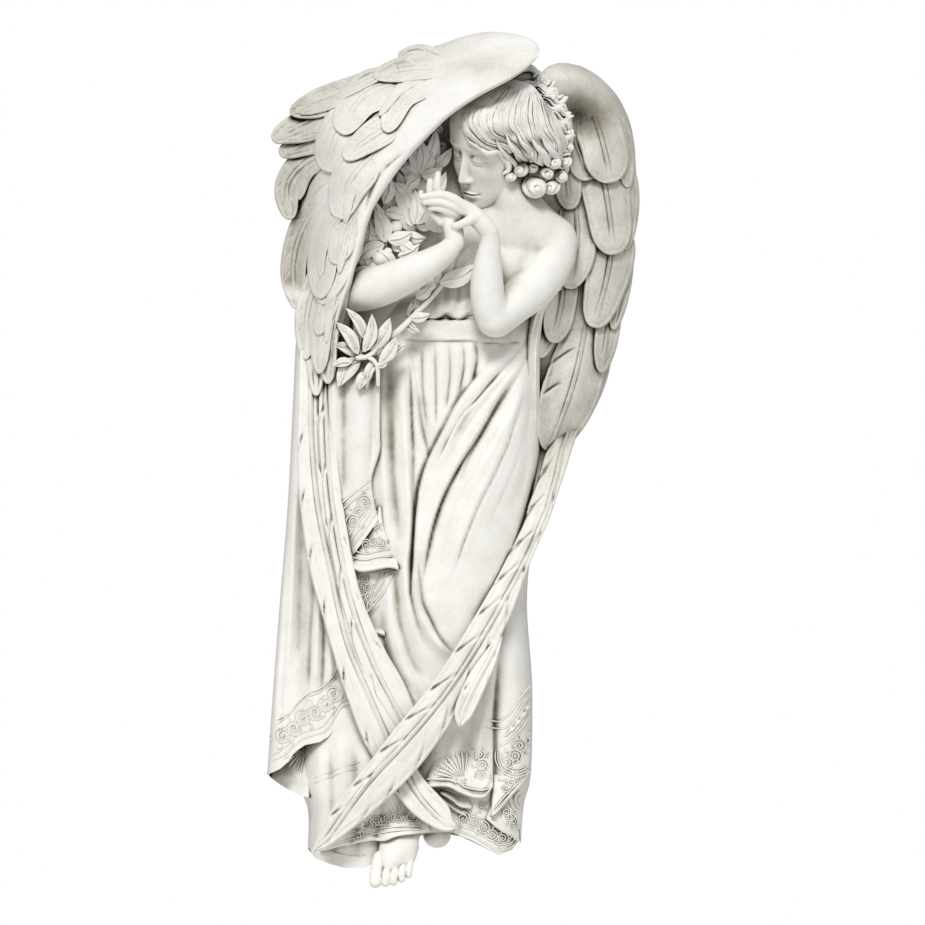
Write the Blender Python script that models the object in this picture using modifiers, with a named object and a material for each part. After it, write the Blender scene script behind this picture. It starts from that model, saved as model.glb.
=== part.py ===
"""Angel wall sculpture: one high-relief casting with a flat back.

An angel stands with bowed head and clasped hands. Its two wings fold round it,
one hooding the head, and their long feathers cross in front of the skirt.

Millimetres are used for the shape: x to the right, z up from the hanging point,
and out from the wall. place() turns them into Blender's metres, with the flat
back on y = 0 and the front facing -Y.
"""

import math

import bmesh
import bpy
import numpy as np
from mathutils import Matrix, Vector

MM = 0.001

# Driving sizes, in millimetres.
VOXEL = 3.2              # grain of the casting, before it is thinned to facets
FACETS = 9900            # triangles left by the thinning, before the back is cut flat
DETAIL_HOLD = 0.35       # how strongly the thinning spares the face, hands and feet
BACK_TRIM = 60.0         # depth of the block that cuts the back flat
WING_WALL = 20.0         # thickness of the near wing where it hoods the head
FEATHER_THICKNESS = 7.0  # a covert feather, at its shaft
FOLD_SHARPNESS = 2.0     # exponent of a drapery fold's cross-section

# The skirt and cloak as level sections: z, left x, right x, how far out, squareness.
TORSO_SECTIONS = [
    (92, 22, 112, 70, 2.2),
    (70, -8, 120, 96, 2.4),
    (35, -40, 114, 108, 2.6),
    (0, -75, 102, 108, 2.6),
    (-30, -100, 92, 104, 2.6),
    (-60, -112, 88, 106, 2.6),
]
SKIRT_SECTIONS = [
    (-35, -112, 88, 100, 2.6),
    (-80, -132, 88, 106, 2.6),
    (-140, -142, 90, 116, 2.6),
    (-220, -146, 84, 124, 2.6),
    (-300, -146, 76, 126, 2.6),
    (-380, -142, 80, 122, 2.6),
    (-450, -140, 81, 116, 2.8),
    (-500, -140, 76, 112, 3.0),
    (-535, -141, 71, 108, 3.0),
]
# How far below the last section the hem hangs, by x.
HEM_DROP = [(-141, 14), (-120, 30), (-95, 32), (-78, 26), (-30, -4), (0, 2), (30, 12), (52, 18), (71, 4)]

# The cloak down the left side: left edge, right edge, how far out.
CLOAK_SECTIONS = [
    ((-142, 60), (-100, 40), 70),
    ((-150, -20), (-100, -30), 84),
    ((-156, -100), (-92, -100), 92),
    ((-161, -200), (-92, -190), 100),
    ((-170, -300), (-92, -280), 104),
    ((-177, -390), (-94, -345), 106),
    ((-182, -450), (-96, -385), 106),
    ((-181, -472), (-97, -410), 104),
]

# Ridges and grooves of the cloth: points along the crest, half width, height (below zero for a groove).
RIDGES = [
    ([(-90, -30), (-91, -110), (-90, -190)], 10, 11),
    ([(-78, -80), (-80, -150), (-86, -200)], 3, -7),
    ([(-66, -75), (-67, -150)], 4, 8),
    ([(-57, -60), (-56, -150), (-60, -260), (-50, -330)], 3, -8),
    ([(-48, -30), (-45, -110), (-44, -200), (-47, -290), (-40, -350), (-26, -390)], 5, 10),
    ([(-38, -60), (-36, -150), (-38, -210)], 3, -6),
    ([(-30, -45), (-30, -100), (-22, -140)], 4, 8),
    ([(-14, -50), (-12, -110)], 4, 5),
    ([(4, -48), (6, -90)], 4, 5),
    ([(20, -46), (22, -75)], 4, 5),
    ([(-66, -200), (-62, -280), (-54, -350), (-44, -400)], 5, 8),
    ([(-165, -180), (-172, -300), (-176, -400)], 8, 10),
    ([(-156, -150), (-157, -260), (-156, -380)], 4, -8),
    ([(-148, -120), (-140, -250), (-122, -330)], 6, 8),
    ([(94, -8), (50, -62), (5, -115), (-18, -150), (-30, -200), (-33, -280), (-26, -320), (-2, -352)], 6, 13),
    ([(94, -11), (56, -71), (14, -127), (-12, -172), (-20, -230), (-26, -275)], 3, -8),
    ([(94, -15), (60, -80), (24, -140), (-4, -200), (-20, -260)], 5, 8),
    ([(92, -22), (66, -86), (38, -145), (12, -200), (-8, -255)], 3, -6),
    ([(90, -30), (74, -90), (52, -150), (30, -200), (12, -250)], 6, 8),
    ([(86, -60), (87, -120), (86, -160), (70, -205)], 4, 8),
    ([(80, -70), (78, -130), (62, -190), (44, -240)], 3, -5),
    ([(62, -320), (52, -380), (44, -430), (41, -480)], 6, 10),
    ([(50, -330), (36, -390), (32, -450)], 4, -7),
    ([(75, -330), (76, -400), (74, -460)], 5, 8),
    ([(-115, -450), (-112, -520)], 8, 8),
    ([(-92, -470), (-88, -530)], 5, -6),
    ([(-20, -430), (0, -455), (20, -480)], 9, 10),
]
# Upper layers of cloth: outline, thickness.
LAYERS = [
    ([(112, 28), (90, -15), (60, -42), (15, -95), (-22, -155), (-35, -230), (-38, -300),
      (-20, -345), (0, -362), (150, -362), (150, 28)], 6),
    ([(-200, -20), (-72, -60), (-72, -130), (-78, -180), (-70, -220), (-52, -268),
      (-67, -335), (-88, -322), (-105, -268), (-200, -270)], 9),
    ([(-30, -19), (60, -23), (60, -43), (-30, -39)], 4),
    ([(-24, -440), (20, -440), (44, -490), (25, -499), (0, -489), (-24, -489)], 8),
    ([(46, -400), (110, -380), (110, -480), (72, -486), (44, -516)], 9),
]
LAYER_EDGE = 2.5         # width over which a layer's edge falls away
# Soft swellings under the cloth: x, z, half width, half height, height.
SWELLINGS = [
    (18, -215, 42, 85, 16),
    (-12, -300, 34, 60, 8),
    (60, 5, 40, 30, 4),
]

# Near wing, as strips from its outer edge to its leading edge:
# outer (x, z), leading (x, z), how far out the leading edge stands, outer edge's own height.
NEAR_WING = [
    ((89, 249), (88, 242), 138, 118),
    ((80, 259), (74, 230), 152, 100),
    ((58, 266), (56, 219), 160, 80),
    ((22, 266), (28, 203), 165, 60),
    ((-22, 252), (0, 184), 166, 44),
    ((-74, 233), (-24, 161), 165, 34),
    ((-122, 210), (-45, 138), 163, 26),
    ((-152, 180), (-64, 112), 160, 22),
    ((-164, 140), (-80, 85), 157, 18),
    ((-166, 98), (-87, 58), 154, 18),
    ((-162, 50), (-97, 25), 152, 18),
    ((-154, 5), (-109, -12), 148, 22),
    ((-152, -45), (-118, -58), 140, 34),
    ((-154, -110), (-124, -110), 128, 44),
]

# Far wing as level sections: z, left x, right x, how far out.
FAR_WING = [
    (233, 100, 132, 34),
    (222, 86, 155, 58),
    (200, 74, 173, 68),
    (170, 70, 184, 70),
    (130, 70, 190, 64),
    (90, 70, 191, 58),
    (40, 70, 184, 54),
    (-10, 66, 174, 52),
    (-60, 60, 158, 52),
    (-100, 60, 143, 54),
    (-135, 60, 126, 58),
    (-175, 50, 111, 66),
    (-215, 50, 97, 76),
    (-250, 50, 85, 84),
    (-290, 45, 73, 88),
]

# Feathers: root (x, z, out), tip (x, z, out), half width. The tip stands proudest.
NEAR_COVERTS = [
    ((-20, 240, 88), (-52, 244, 66), 9),
    ((-28, 232, 104), (-76, 226, 80), 15),
    ((-70, 226, 78), (-160, 189, 42), 17),
    ((-60, 205, 118), (-118, 184, 96), 18),
    ((-115, 186, 74), (-178, 158, 42), 15),
    ((-110, 170, 84), (-166, 146, 56), 13),
    ((-84, 186, 124), (-132, 138, 102), 20),
    ((-36, 205, 148), (-66, 178, 142), 13),
    ((-48, 178, 152), (-84, 148, 142), 15),
    ((-124, 150, 70), (-168, 88, 40), 15),
    ((-90, 150, 134), (-116, 88, 124), 20),
    ((-52, 150, 160), (-84, 96, 156), 13),
    ((-134, 110, 80), (-162, 10, 40), 15),
    ((-130, 90, 104), (-146, -22, 86), 15),
    ((-112, 100, 130), (-130, 0, 116), 16),
    ((-92, 100, 146), (-106, 20, 142), 14),
    ((-104, 50, 144), (-120, -30, 136), 13),
    ((-122, 20, 130), (-129, -72, 126), 12),
]
FAR_COVERTS = [
    ((112, 190, 66), (134, 162, 72), 18),
    ((146, 190, 62), (162, 120, 68), 20),
    ((116, 165, 62), (134, 122, 66), 14),
    ((176, 180, 40), (186, 125, 34), 10),
    ((140, 130, 60), (168, 46, 64), 20),
    ((112, 110, 62), (134, 50, 62), 15),
    ((178, 125, 40), (186, 62, 36), 9),
    ((112, 60, 66), (120, 12, 70), 15),
    ((150, 60, 56), (145, -26, 62), 20),
    ((172, 50, 40), (174, -5, 36), 9),
    ((110, 20, 64), (116, -14, 66), 12),
    ((100, 5, 66), (100, -56, 68), 14),
    ((136, -10, 56), (104, -150, 66), 18),
    ((160, 0, 42), (152, -72, 44), 12),
    ((142, -50, 48), (130, -124, 54), 11),
]

# Long feathers: stations of (x, z, out, half width).
FAR_PRIMARIES = [
    (126, -70, 50, 16),
    (116, -130, 62, 17),
    (103, -175, 72, 16),
    (88, -215, 86, 15),
    (70, -255, 102, 16),
    (45, -305, 126, 18),
    (15, -355, 146, 21),
    (-20, -402, 153, 23),
    (-55, -445, 153, 24),
    (-95, -495, 148, 22),
    (-124, -535, 138, 15),
    (-138, -550, 130, 5),
]
FAR_SHORT_PRIMARY = [
    (72, -275, 96, 7),
    (57, -308, 112, 9),
    (40, -345, 128, 10),
    (24, -382, 136, 11),
    (12, -412, 138, 9),
    (8, -425, 134, 4),
]
NEAR_PRIMARIES = [
    (-136, -40, 118, 15),
    (-140, -110, 122, 16),
    (-137, -170, 124, 16),
    (-129, -235, 130, 17),
    (-113, -310, 135, 18),
    (-90, -372, 138, 18),
    (-62, -430, 138, 17),
    (-35, -478, 136, 16),
    (-12, -512, 134, 14),
    (1, -528, 128, 5),
]

# Locks of hair: stations of (x, z, out, radius).
LOCKS = [
    [(62, 222, 112, 9), (40, 216, 124, 9), (20, 196, 128, 7), (13, 176, 126, 5)],
    [(66, 218, 118, 9), (46, 204, 134, 10), (26, 184, 138, 8), (19, 163, 136, 5)],
    [(72, 214, 122, 9), (58, 196, 140, 10), (40, 176, 144, 9), (30, 158, 142, 5)],
    [(78, 212, 120, 9), (72, 190, 138, 10), (58, 170, 144, 10), (46, 154, 140, 6)],
    [(86, 208, 114, 9), (86, 186, 128, 10), (74, 166, 136, 10), (62, 150, 134, 7)],
    [(94, 202, 106, 9), (96, 178, 120, 9), (88, 158, 126, 9), (76, 142, 124, 8)],
]

# Round limbs: stations of (x, z, out, radius).
NECK = [(52, 128, 92, 27), (62, 100, 86, 27), (72, 78, 78, 34)]
SHOULDERS = [(12, 62, 80, 26), (50, 68, 80, 32), (98, 60, 76, 27)]
FAR_UPPER_ARM = [(102, 54, 82, 24), (82, 20, 102, 23), (58, -10, 122, 20), (46, -22, 132, 16)]
FAR_FOREARM = [(45, -20, 134, 17), (40, 5, 138, 18), (38, 32, 142, 16), (40, 62, 147, 12)]
FAR_HAND = [(38, 66, 148, 12), (24, 82, 152, 12), (10, 94, 154, 9)]
NEAR_FOREARM = [(-104, 0, 112, 19), (-80, 8, 128, 21), (-48, 22, 139, 19), (-14, 40, 146, 14), (4, 54, 148, 13)]
NEAR_HAND = [(6, 58, 148, 13), (3, 74, 146, 11), (-4, 88, 146, 9)]
FINGERS = [
    [(14, 95, 158, 5.5), (0, 103, 161, 5), (-14, 106, 160, 4.5), (-29, 103, 158, 3.5)],
    [(12, 91, 156, 5.5), (-2, 98, 160, 5), (-14, 101, 160, 4.5), (-26, 99, 159, 3.5)],
    [(10, 87, 153, 5.5), (-2, 92, 157, 5), (-12, 95, 157, 4.5), (-20, 95, 156, 3.5)],
    [(26, 86, 158, 5), (16, 84, 162, 4.5), (8, 80, 162, 4)],
    [(-2, 88, 146, 5.5), (-9, 100, 145, 5), (-14, 113, 141, 4.5), (-12, 125, 136, 3.5)],
    [(-5, 86, 146, 5.5), (-13, 96, 145, 5), (-19, 108, 142, 4.5), (-19, 118, 138, 3.5)],
    [(-6, 82, 147, 5.5), (-15, 90, 147, 5), (-24, 99, 146, 4.5), (-27, 108, 143, 3.5)],
]
FOOT = [(-46, -515, 80, 19), (-50, -540, 98, 21), (-56, -562, 116, 19), (-59, -576, 128, 13)]
HEEL = [(-18, -520, 60, 14), (-14, -534, 72, 13)]
BRANCH = [(-60, -40, 116, 4), (-38, -14, 120, 5), (-14, 12, 122, 4), (4, 26, 118, 3)]
TOES = [
    ((-70, -568), (-74, -583), 6.5),
    ((-62, -570), (-64, -584), 5),
    ((-54, -570), (-55, -583), 5),
    ((-47, -568), (-48, -580), 4.5),
    ((-40, -564), (-41, -577), 4.5),
]
TOE_OUT = 128

# The head, in its own frame: a = towards the figure's right, b = forward, c = up, from the skull's centre.
HEAD_CENTRE = (52, 159, 98)
HEAD_TURN = 40.0         # degrees towards the viewer's left
HEAD_BOW = 32.0          # degrees down
HEAD_ROLL = 17.0         # degrees, crown towards the viewer's right
HEAD_MASSES = [          # a, b, c, then half widths in a, b and c
    (0, -6, 8, 44, 52, 48),      # skull
    (0, 8, -18, 33, 38, 46),     # face
    (0, 26, -52, 17, 16, 13),    # chin
    (0, 34, 14, 26, 12, 20),     # forehead
    (19, 26, -20, 12, 11, 13),   # cheeks
    (-19, 26, -20, 12, 11, 13),
    (15, 37, -3, 9, 6, 5),       # closed eyes
    (-15, 37, -3, 9, 6, 5),
    (0, 53, -24, 6, 6, 5),       # tip of the nose
    (0, 43, -37, 11, 6, 3),      # upper lip
    (0, 41, -43, 9, 6, 3),       # lower lip
]
HEAD_RODS = [            # from (a, b, c) to (a, b, c), first and last radius
    ((0, 41, 8), (0, 53, -22), 4.5, 5),      # bridge of the nose
    ((3, 42, 7), (27, 33, 6), 3.5, 3),       # brows
    ((-3, 42, 7), (-27, 33, 6), 3.5, 3),
]

# Round masses: x, z, out, half widths in x, z and out.
HAIR = [
    (66, 176, 92, 50, 46, 50),
    (98, 172, 84, 22, 34, 32),
    (83, 226, 74, 10, 7, 18),
    (98, 212, 84, 11, 9, 16),
    (110, 196, 86, 11, 10, 14),
    (117, 176, 84, 9, 10, 13),
    (119, 158, 84, 9, 9, 13),
    (117, 141, 86, 9, 9, 12),
    (110, 128, 90, 9, 8, 11),
    (103, 113, 94, 9, 8, 11),
    (85, 112, 108, 12, 11, 14),
    (90, 132, 112, 10, 8, 12),
    (72, 130, 122, 8, 7, 10),
    (61, 122, 124, 7, 7, 9),
    (100, 150, 108, 9, 8, 12),
    (94, 180, 122, 8, 9, 12),
    (104, 165, 112, 8, 8, 12),
    (70, 150, 128, 9, 7, 10),
    (-10, 150, 84, 9, 8, 12),
    (-20, 160, 84, 8, 8, 12),
]

# Laurel: centre of each spray (x, z, out), then its leaves as (direction in degrees, length).
LAURELS = [
    ((-30, 124, 100), [(165, 26), (140, 28), (105, 30), (75, 28), (45, 22)], 7),
    ((-36, 76, 102), [(150, 30), (120, 38), (92, 40), (65, 38), (38, 34), (10, 28)], 8),
    ((-64, 60, 102), [(178, 26), (150, 28), (118, 32), (90, 36), (210, 26), (15, 32), (345, 28)], 7),
    ((-90, -52, 112), [(165, 28), (125, 38), (92, 38), (60, 36), (30, 34), (240, 32), (275, 30)], 8),
    ((-8, 18, 120), [(95, 26), (60, 30), (30, 32), (195, 22), (0, 24)], 7),
    ((-40, -17, 118), [(75, 24), (20, 22), (300, 20)], 6),
]
BUDS = [(-38, 122, 108, 7), (-53, 73, 108, 7), (-70, 37, 106, 9)]

# Boxes that the thinning spares: left, right, bottom, top, least out.
DETAIL_BOXES = [
    (-5, 75, 90, 200, 95),
    (-45, 60, 50, 115, 120),
    (-85, -20, -600, -545, 100),
    (-115, 0, -90, 165, 95),
]

# Flat cores that carry the leaves and the head: x, z, half widths, how far out.
CORES = [
    (-50, 70, 72, 110, 98),
    (20, 150, 90, 75, 72),
    (-60, -60, 62, 60, 100),
]


def place(x, z, out):
    """A point of the relief as a Blender location."""
    return Vector((x * MM, -out * MM, z * MM))


def distance_to_path(points, path):
    """Distance of each (x, z) point to a broken line, and how far along it, from 0 to 1."""
    path = np.array(path, float)
    best = np.full(len(points), 1e9)
    along = np.zeros(len(points))
    spans = len(path) - 1
    for i in range(spans):
        start, step = path[i], path[i + 1] - path[i]
        share = np.clip((points - start) @ step / (step @ step), 0, 1)
        gap = np.linalg.norm(points - start - share[:, None] * step, axis=1)
        nearer = gap < best
        best = np.where(nearer, gap, best)
        along = np.where(nearer, (i + share) / spans, along)
    return best, along


def inside(points, outline):
    """Whether each (x, z) point lies within a closed outline."""
    x, z = points[:, 0], points[:, 1]
    odd = np.zeros(len(points), bool)
    for (x0, z0), (x1, z1) in zip(outline, outline[1:] + outline[:1]):
        if z0 != z1:
            odd ^= ((z0 > z) != (z1 > z)) & (x < x0 + (z - z0) * (x1 - x0) / (z1 - z0))
    return odd


def cloth_height(points):
    """Extra height of folds, layers and the limbs under the cloth, at (x, z) points."""
    height = np.zeros(len(points))
    for outline, thickness in LAYERS:
        gap, _ = distance_to_path(points, outline + outline[:1])
        depth = np.where(inside(points, outline), gap, -gap)
        height += thickness * np.clip(0.5 + depth / LAYER_EDGE, 0, 1)
    for crest, half_width, rise in RIDGES:
        gap, along = distance_to_path(points, crest)
        fade = np.minimum(1, 8 * np.minimum(along + 0.03, 1.03 - along))
        height += rise * fade / (1 + (gap / half_width) ** FOLD_SHARPNESS) ** 2
    for x, z, half_x, half_z, rise in SWELLINGS:
        reach = ((points[:, 0] - x) / half_x) ** 2 + ((points[:, 1] - z) / half_z) ** 2
        height += rise * np.exp(-reach)
    return height


def mesh_object(name, bm):
    """A Blender object from a bmesh, with its normals made to point out."""
    bmesh.ops.recalc_face_normals(bm, faces=bm.faces)
    mesh = bpy.data.meshes.new(name)
    bm.to_mesh(mesh)
    bm.free()
    obj = bpy.data.objects.new(name, mesh)
    bpy.context.scene.collection.objects.link(obj)
    return obj


def loft(name, rings):
    """A closed solid through rings of equal point counts, capped at both ends."""
    bm = bmesh.new()
    verts = [[bm.verts.new(place(*p)) for p in ring] for ring in rings]
    count = len(verts[0])
    for low, high in zip(verts, verts[1:]):
        for k in range(count):
            bm.faces.new((low[k], low[(k + 1) % count], high[(k + 1) % count], high[k]))
    bm.faces.new(reversed(verts[0]))
    bm.faces.new(verts[-1])
    return mesh_object(name, bm)


def relief_ring(left, right, out, squareness, steps=44, behind=-6.0, hem=None):
    """A level or slanting section of cloth: a superellipse in front and a straight back."""
    angle = np.linspace(math.pi, 0, steps)
    share = (1 + np.cos(angle)) / 2
    x = left[0] + (right[0] - left[0]) * share
    z = left[1] + (right[1] - left[1]) * share
    rise = np.sin(angle) ** (2 / squareness)
    height = rise * (out + cloth_height(np.column_stack([x, z])) * rise)
    if hem:
        z = z - np.interp(x, *zip(*hem))
    front = [(x[i], z[i], height[i]) for i in range(steps)]
    return [(front[0][0], front[0][1], behind)] + front + [(front[-1][0], front[-1][1], behind)]


def between(sections, steps):
    """Sections resampled to an even number of steps, each number on its own smooth course."""
    table = np.array(sections, float)
    knots = np.linspace(0, 1, len(table))
    where = np.linspace(0, 1, steps)
    return np.column_stack([np.interp(where, knots, table[:, k]) for k in range(table.shape[1])])


def level_cloth(name, sections, steps, hem=None):
    """A solid of cloth through level sections, with an uneven hem at the last of them."""
    rings = [
        relief_ring((left, z), (right, z), out, square)
        for z, left, right, out, square in between(sections, steps)
    ]
    if hem:
        z, left, right, out, square = sections[-1]
        rings.append(relief_ring((left, z), (right, z), out, square, hem=hem))
    return loft(name, rings)


def side_cloak():
    """The cloak down the left side, whose sections slant to follow its hem."""
    flat = [(*left, *right, out) for left, right, out in CLOAK_SECTIONS]
    rings = [
        relief_ring((row[0], row[1]), (row[2], row[3]), row[4], 2.4)
        for row in between(flat, 22)
    ]
    return loft("cloak", rings)


def near_wing():
    """The near wing: a curved wall from the outer edge, low down, to the leading edge, far out."""
    flat = [(*outer, *lead, out, low) for outer, lead, out, low in NEAR_WING]
    rings = []
    for x0, z0, x1, z1, out, low in between(flat, 40):
        share = np.linspace(0, 1, 16)
        x = x0 + (x1 - x0) * share
        z = z0 + (z1 - z0) * share
        front = low + (out - low) * np.sin(share * math.pi / 2) ** 0.85
        wall = np.minimum(WING_WALL, 8 + 60 * np.minimum(share + 0.05, 1.03 - share))
        ring = [(x[i], z[i], front[i]) for i in range(16)]
        ring += [(x[i], z[i], front[i] - wall[i]) for i in reversed(range(16))]
        rings.append(ring)
    return loft("near_wing", rings)


def near_wing_backing():
    """The outer half of the near wing filled back to the wall."""
    flat = [(*outer, *lead, out, low) for outer, lead, out, low in NEAR_WING[4:]]
    rings = []
    for x0, z0, x1, z1, out, low in between(flat, 24):
        share = np.linspace(0, 0.62, 10)
        front = low + (out - low) * np.sin(share * math.pi / 2) ** 0.85 - 4
        x = x0 + (x1 - x0) * share + 2
        z = z0 + (z1 - z0) * share
        ring = [(x[i], z[i], front[i]) for i in range(10)]
        rings.append([(x[0], z[0], -6)] + ring + [(x[-1], z[-1], -6)])
    return loft("near_wing_backing", rings)


def far_wing():
    """The far wing: a plate against the wall, highest near the shoulder."""
    rings = []
    for z, left, right, out in between(FAR_WING, 30):
        share = np.linspace(0, 1, 18)
        front = out * (1 - share**3.2) ** 0.55 * (0.93 + 0.07 * np.cos(share * math.pi))
        x = left + (right - left) * share
        ring = [(x[i], z, front[i]) for i in range(17)] + [(x[-1], z, 6)]
        rings.append([(x[0], z, -6)] + ring + [(x[-1], z, -6)])
    return loft("far_wing", rings)


def lens_ring(centre, across, half_width, thickness, points=12):
    """A lens section of a feather or a leaf: wide across, thin outwards, with a raised shaft."""
    ring = []
    for k in range(points):
        turn = 2 * math.pi * k / points
        swing = math.cos(turn)
        lift = math.sin(turn) * (1 - 0.5 * abs(swing)) * thickness
        ring.append((
            centre[0] + across[0] * swing * half_width,
            centre[1] + across[1] * swing * half_width,
            centre[2] + lift,
        ))
    return ring


def across_of(before, after):
    """The unit direction across a path, in the plane of the wall."""
    step = np.array([after[0] - before[0], after[1] - before[1]], float)
    step /= np.linalg.norm(step)
    return -step[1], step[0]


def blade(name, root, tip, half_width, thickness, pointed=False, steps=9):
    """One feather or leaf from root to tip. A feather's tip is round, a leaf's is pointed."""
    root, tip = np.array(root, float), np.array(tip, float)
    across = across_of(root, tip)
    rings = []
    for share in np.linspace(0.02, 0.985, steps):
        if pointed:
            width = half_width * math.sin(math.pi * share**0.8) ** 0.8
        else:
            width = half_width * min(1, 0.35 + 1.3 * share) * (1 - share**6) ** 0.6
        centre = root + (tip - root) * share
        rings.append(lens_ring(centre, across, max(width, 0.8), max(thickness * width / half_width, 0.8)))
    return loft(name, rings)


def long_feather(name, stations, thickness):
    """A long feather that follows its stations over the skirt."""
    rows = between(stations, 3 * len(stations))
    rings = []
    for i, row in enumerate(rows):
        across = across_of(rows[max(i - 1, 0)], rows[min(i + 1, len(rows) - 1)])
        rings.append(lens_ring(row[:3], across, row[3], min(thickness, row[3])))
    return loft(name, rings)


def limb(name, stations):
    """A round limb: a smooth curve whose bevel follows the radius at each station."""
    curve = bpy.data.curves.new(name, "CURVE")
    curve.dimensions = "3D"
    curve.resolution_u = 5
    curve.bevel_depth = MM
    curve.bevel_resolution = 3
    curve.use_fill_caps = True
    spline = curve.splines.new("NURBS")
    spline.points.add(len(stations) - 1)
    for point, (x, z, out, radius) in zip(spline.points, stations):
        point.co = (*place(x, z, out), 1)
        point.radius = radius
    spline.order_u = min(3, len(stations))
    spline.use_endpoint_u = True
    shape = bpy.data.objects.new(name, curve)
    bpy.context.scene.collection.objects.link(shape)
    graph = bpy.context.evaluated_depsgraph_get()
    mesh = bpy.data.meshes.new_from_object(shape.evaluated_get(graph))
    bpy.data.objects.remove(shape)
    bm = bmesh.new()
    bm.from_mesh(mesh)
    bpy.data.meshes.remove(mesh)
    bmesh.ops.remove_doubles(bm, verts=bm.verts, dist=0.05 * MM)
    parts = [mesh_object(name, bm)]
    for x, z, out, radius in (stations[0], stations[-1]):
        parts.append(ball(name + "_end", (x, z, out, radius, radius, radius)))
    return parts


def ball(name, mass):
    """An ellipsoid from its centre and half widths."""
    x, z, out, half_x, half_z, half_out = mass
    bm = bmesh.new()
    bmesh.ops.create_uvsphere(bm, u_segments=16, v_segments=10, radius=1)
    for vert in bm.verts:
        vert.co = Vector((vert.co.x * half_x, vert.co.y * half_out, vert.co.z * half_z)) * MM
        vert.co += place(x, z, out)
    return mesh_object(name, bm)


def core(name, x, z, half_x, half_z, out):
    """A rounded block against the wall, behind the open carving."""
    bm = bmesh.new()
    bmesh.ops.create_uvsphere(bm, u_segments=24, v_segments=12, radius=1)
    for vert in bm.verts:
        squared = [math.copysign(abs(c) ** 0.6, c) for c in vert.co]
        vert.co = Vector((squared[0] * half_x, squared[1] * out, squared[2] * half_z)) * MM
        vert.co += place(x, z, 0)
    return mesh_object(name, bm)


def laurel():
    """Leaf sprays along the arm, their branch and their buds."""
    parts = limb("branch", BRANCH)
    for centre, leaves, half_width in LAURELS:
        for turn, length in leaves:
            angle = math.radians(turn)
            tip = (
                centre[0] + length * math.cos(angle),
                centre[1] + length * math.sin(angle),
                centre[2] + 6,
            )
            root = (centre[0], centre[1], centre[2] - 2)
            parts.append(blade("leaf", root, tip, half_width, 5, pointed=True))
    for x, z, out, radius in BUDS:
        parts.append(ball("bud", (x, z, out, radius, radius, radius)))
    return parts


def head_frame():
    """Turns a point of the head's own frame into a Blender location."""
    turn = Matrix.Rotation(math.radians(-HEAD_TURN), 4, "Z")
    bow = Matrix.Rotation(math.radians(HEAD_BOW), 4, "X")
    roll = Matrix.Rotation(math.radians(HEAD_ROLL), 4, "Y")
    return Matrix.Translation(place(*HEAD_CENTRE)) @ roll @ turn @ bow


def head():
    """Skull, face and features, turned and bowed together."""
    frame = head_frame()
    parts = []
    for a, b, c, half_a, half_b, half_c in HEAD_MASSES:
        parts.append(ball("head", (-a, c, b, half_a, half_c, half_b)))
        parts[-1].data.transform(frame)
    for (a0, b0, c0), (a1, b1, c1), first, last in HEAD_RODS:
        rod = limb("feature", [(-a0, c0, b0, first), (-a1, c1, b1, last)])
        for piece in rod:
            piece.data.transform(frame)
        parts += rod
    return parts


def figure():
    """Head, hair, neck, arms, hands and feet."""
    parts = head() + [ball("hair", mass) for mass in HAIR]
    for stations in LOCKS:
        parts += limb("lock", stations)
    for name, stations in (
        ("neck", NECK),
        ("shoulders", SHOULDERS),
        ("far_upper_arm", FAR_UPPER_ARM),
        ("far_forearm", FAR_FOREARM),
        ("far_hand", FAR_HAND),
        ("near_forearm", NEAR_FOREARM),
        ("near_hand", NEAR_HAND),
        ("foot", FOOT),
        ("heel", HEEL),
    ):
        parts += limb(name, stations)
    for stations in FINGERS:
        parts += limb("finger", stations)
    for (x0, z0), (x1, z1), radius in TOES:
        parts += limb("toe", [(x0, z0, TOE_OUT - 6, radius), (x1, z1, TOE_OUT, radius * 0.9)])
    return parts


def clothing():
    """Bodice, skirt and cloak."""
    return [
        level_cloth("bodice", TORSO_SECTIONS, 20),
        level_cloth("skirt", SKIRT_SECTIONS, 64, hem=HEM_DROP),
        side_cloak(),
    ]


def wings():
    """Both wings with their covert and long feathers."""
    parts = [near_wing(), near_wing_backing(), far_wing()]
    for root, tip, half_width in NEAR_COVERTS + FAR_COVERTS:
        parts.append(blade("covert", root, tip, half_width, FEATHER_THICKNESS))
    parts.append(long_feather("near_primaries", NEAR_PRIMARIES, 12))
    parts.append(long_feather("far_primaries", FAR_PRIMARIES, 13))
    parts.append(long_feather("far_short_primary", FAR_SHORT_PRIMARY, 8))
    return parts


def joined(name, parts):
    """All the shapes as the loose parts of one object."""
    bm = bmesh.new()
    for part in parts:
        bm.from_mesh(part.data)
        bpy.data.objects.remove(part)
    return mesh_object(name, bm)


def keep_largest_body(obj):
    """Removes any crumb that the remesh or the cut left apart from the casting."""
    bm = bmesh.new()
    bm.from_mesh(obj.data)
    left = set(bm.verts)
    bodies = []
    while left:
        reached = {left.pop()}
        edge = list(reached)
        while edge:
            vert = edge.pop()
            for link in vert.link_edges:
                other = link.other_vert(vert)
                if other not in reached:
                    reached.add(other)
                    edge.append(other)
        left -= reached
        bodies.append(reached)
    bodies.sort(key=len)
    for body in bodies[:-1]:
        bmesh.ops.delete(bm, geom=list(body), context="VERTS")
    bmesh.ops.triangulate(bm, faces=bm.faces)
    bm.to_mesh(obj.data)
    bm.free()


def baked(obj):
    """The object's mesh with its modifiers applied."""
    graph = bpy.context.evaluated_depsgraph_get()
    mesh = bpy.data.meshes.new_from_object(obj.evaluated_get(graph))
    obj.modifiers.clear()
    obj.data = mesh
    return obj


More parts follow.
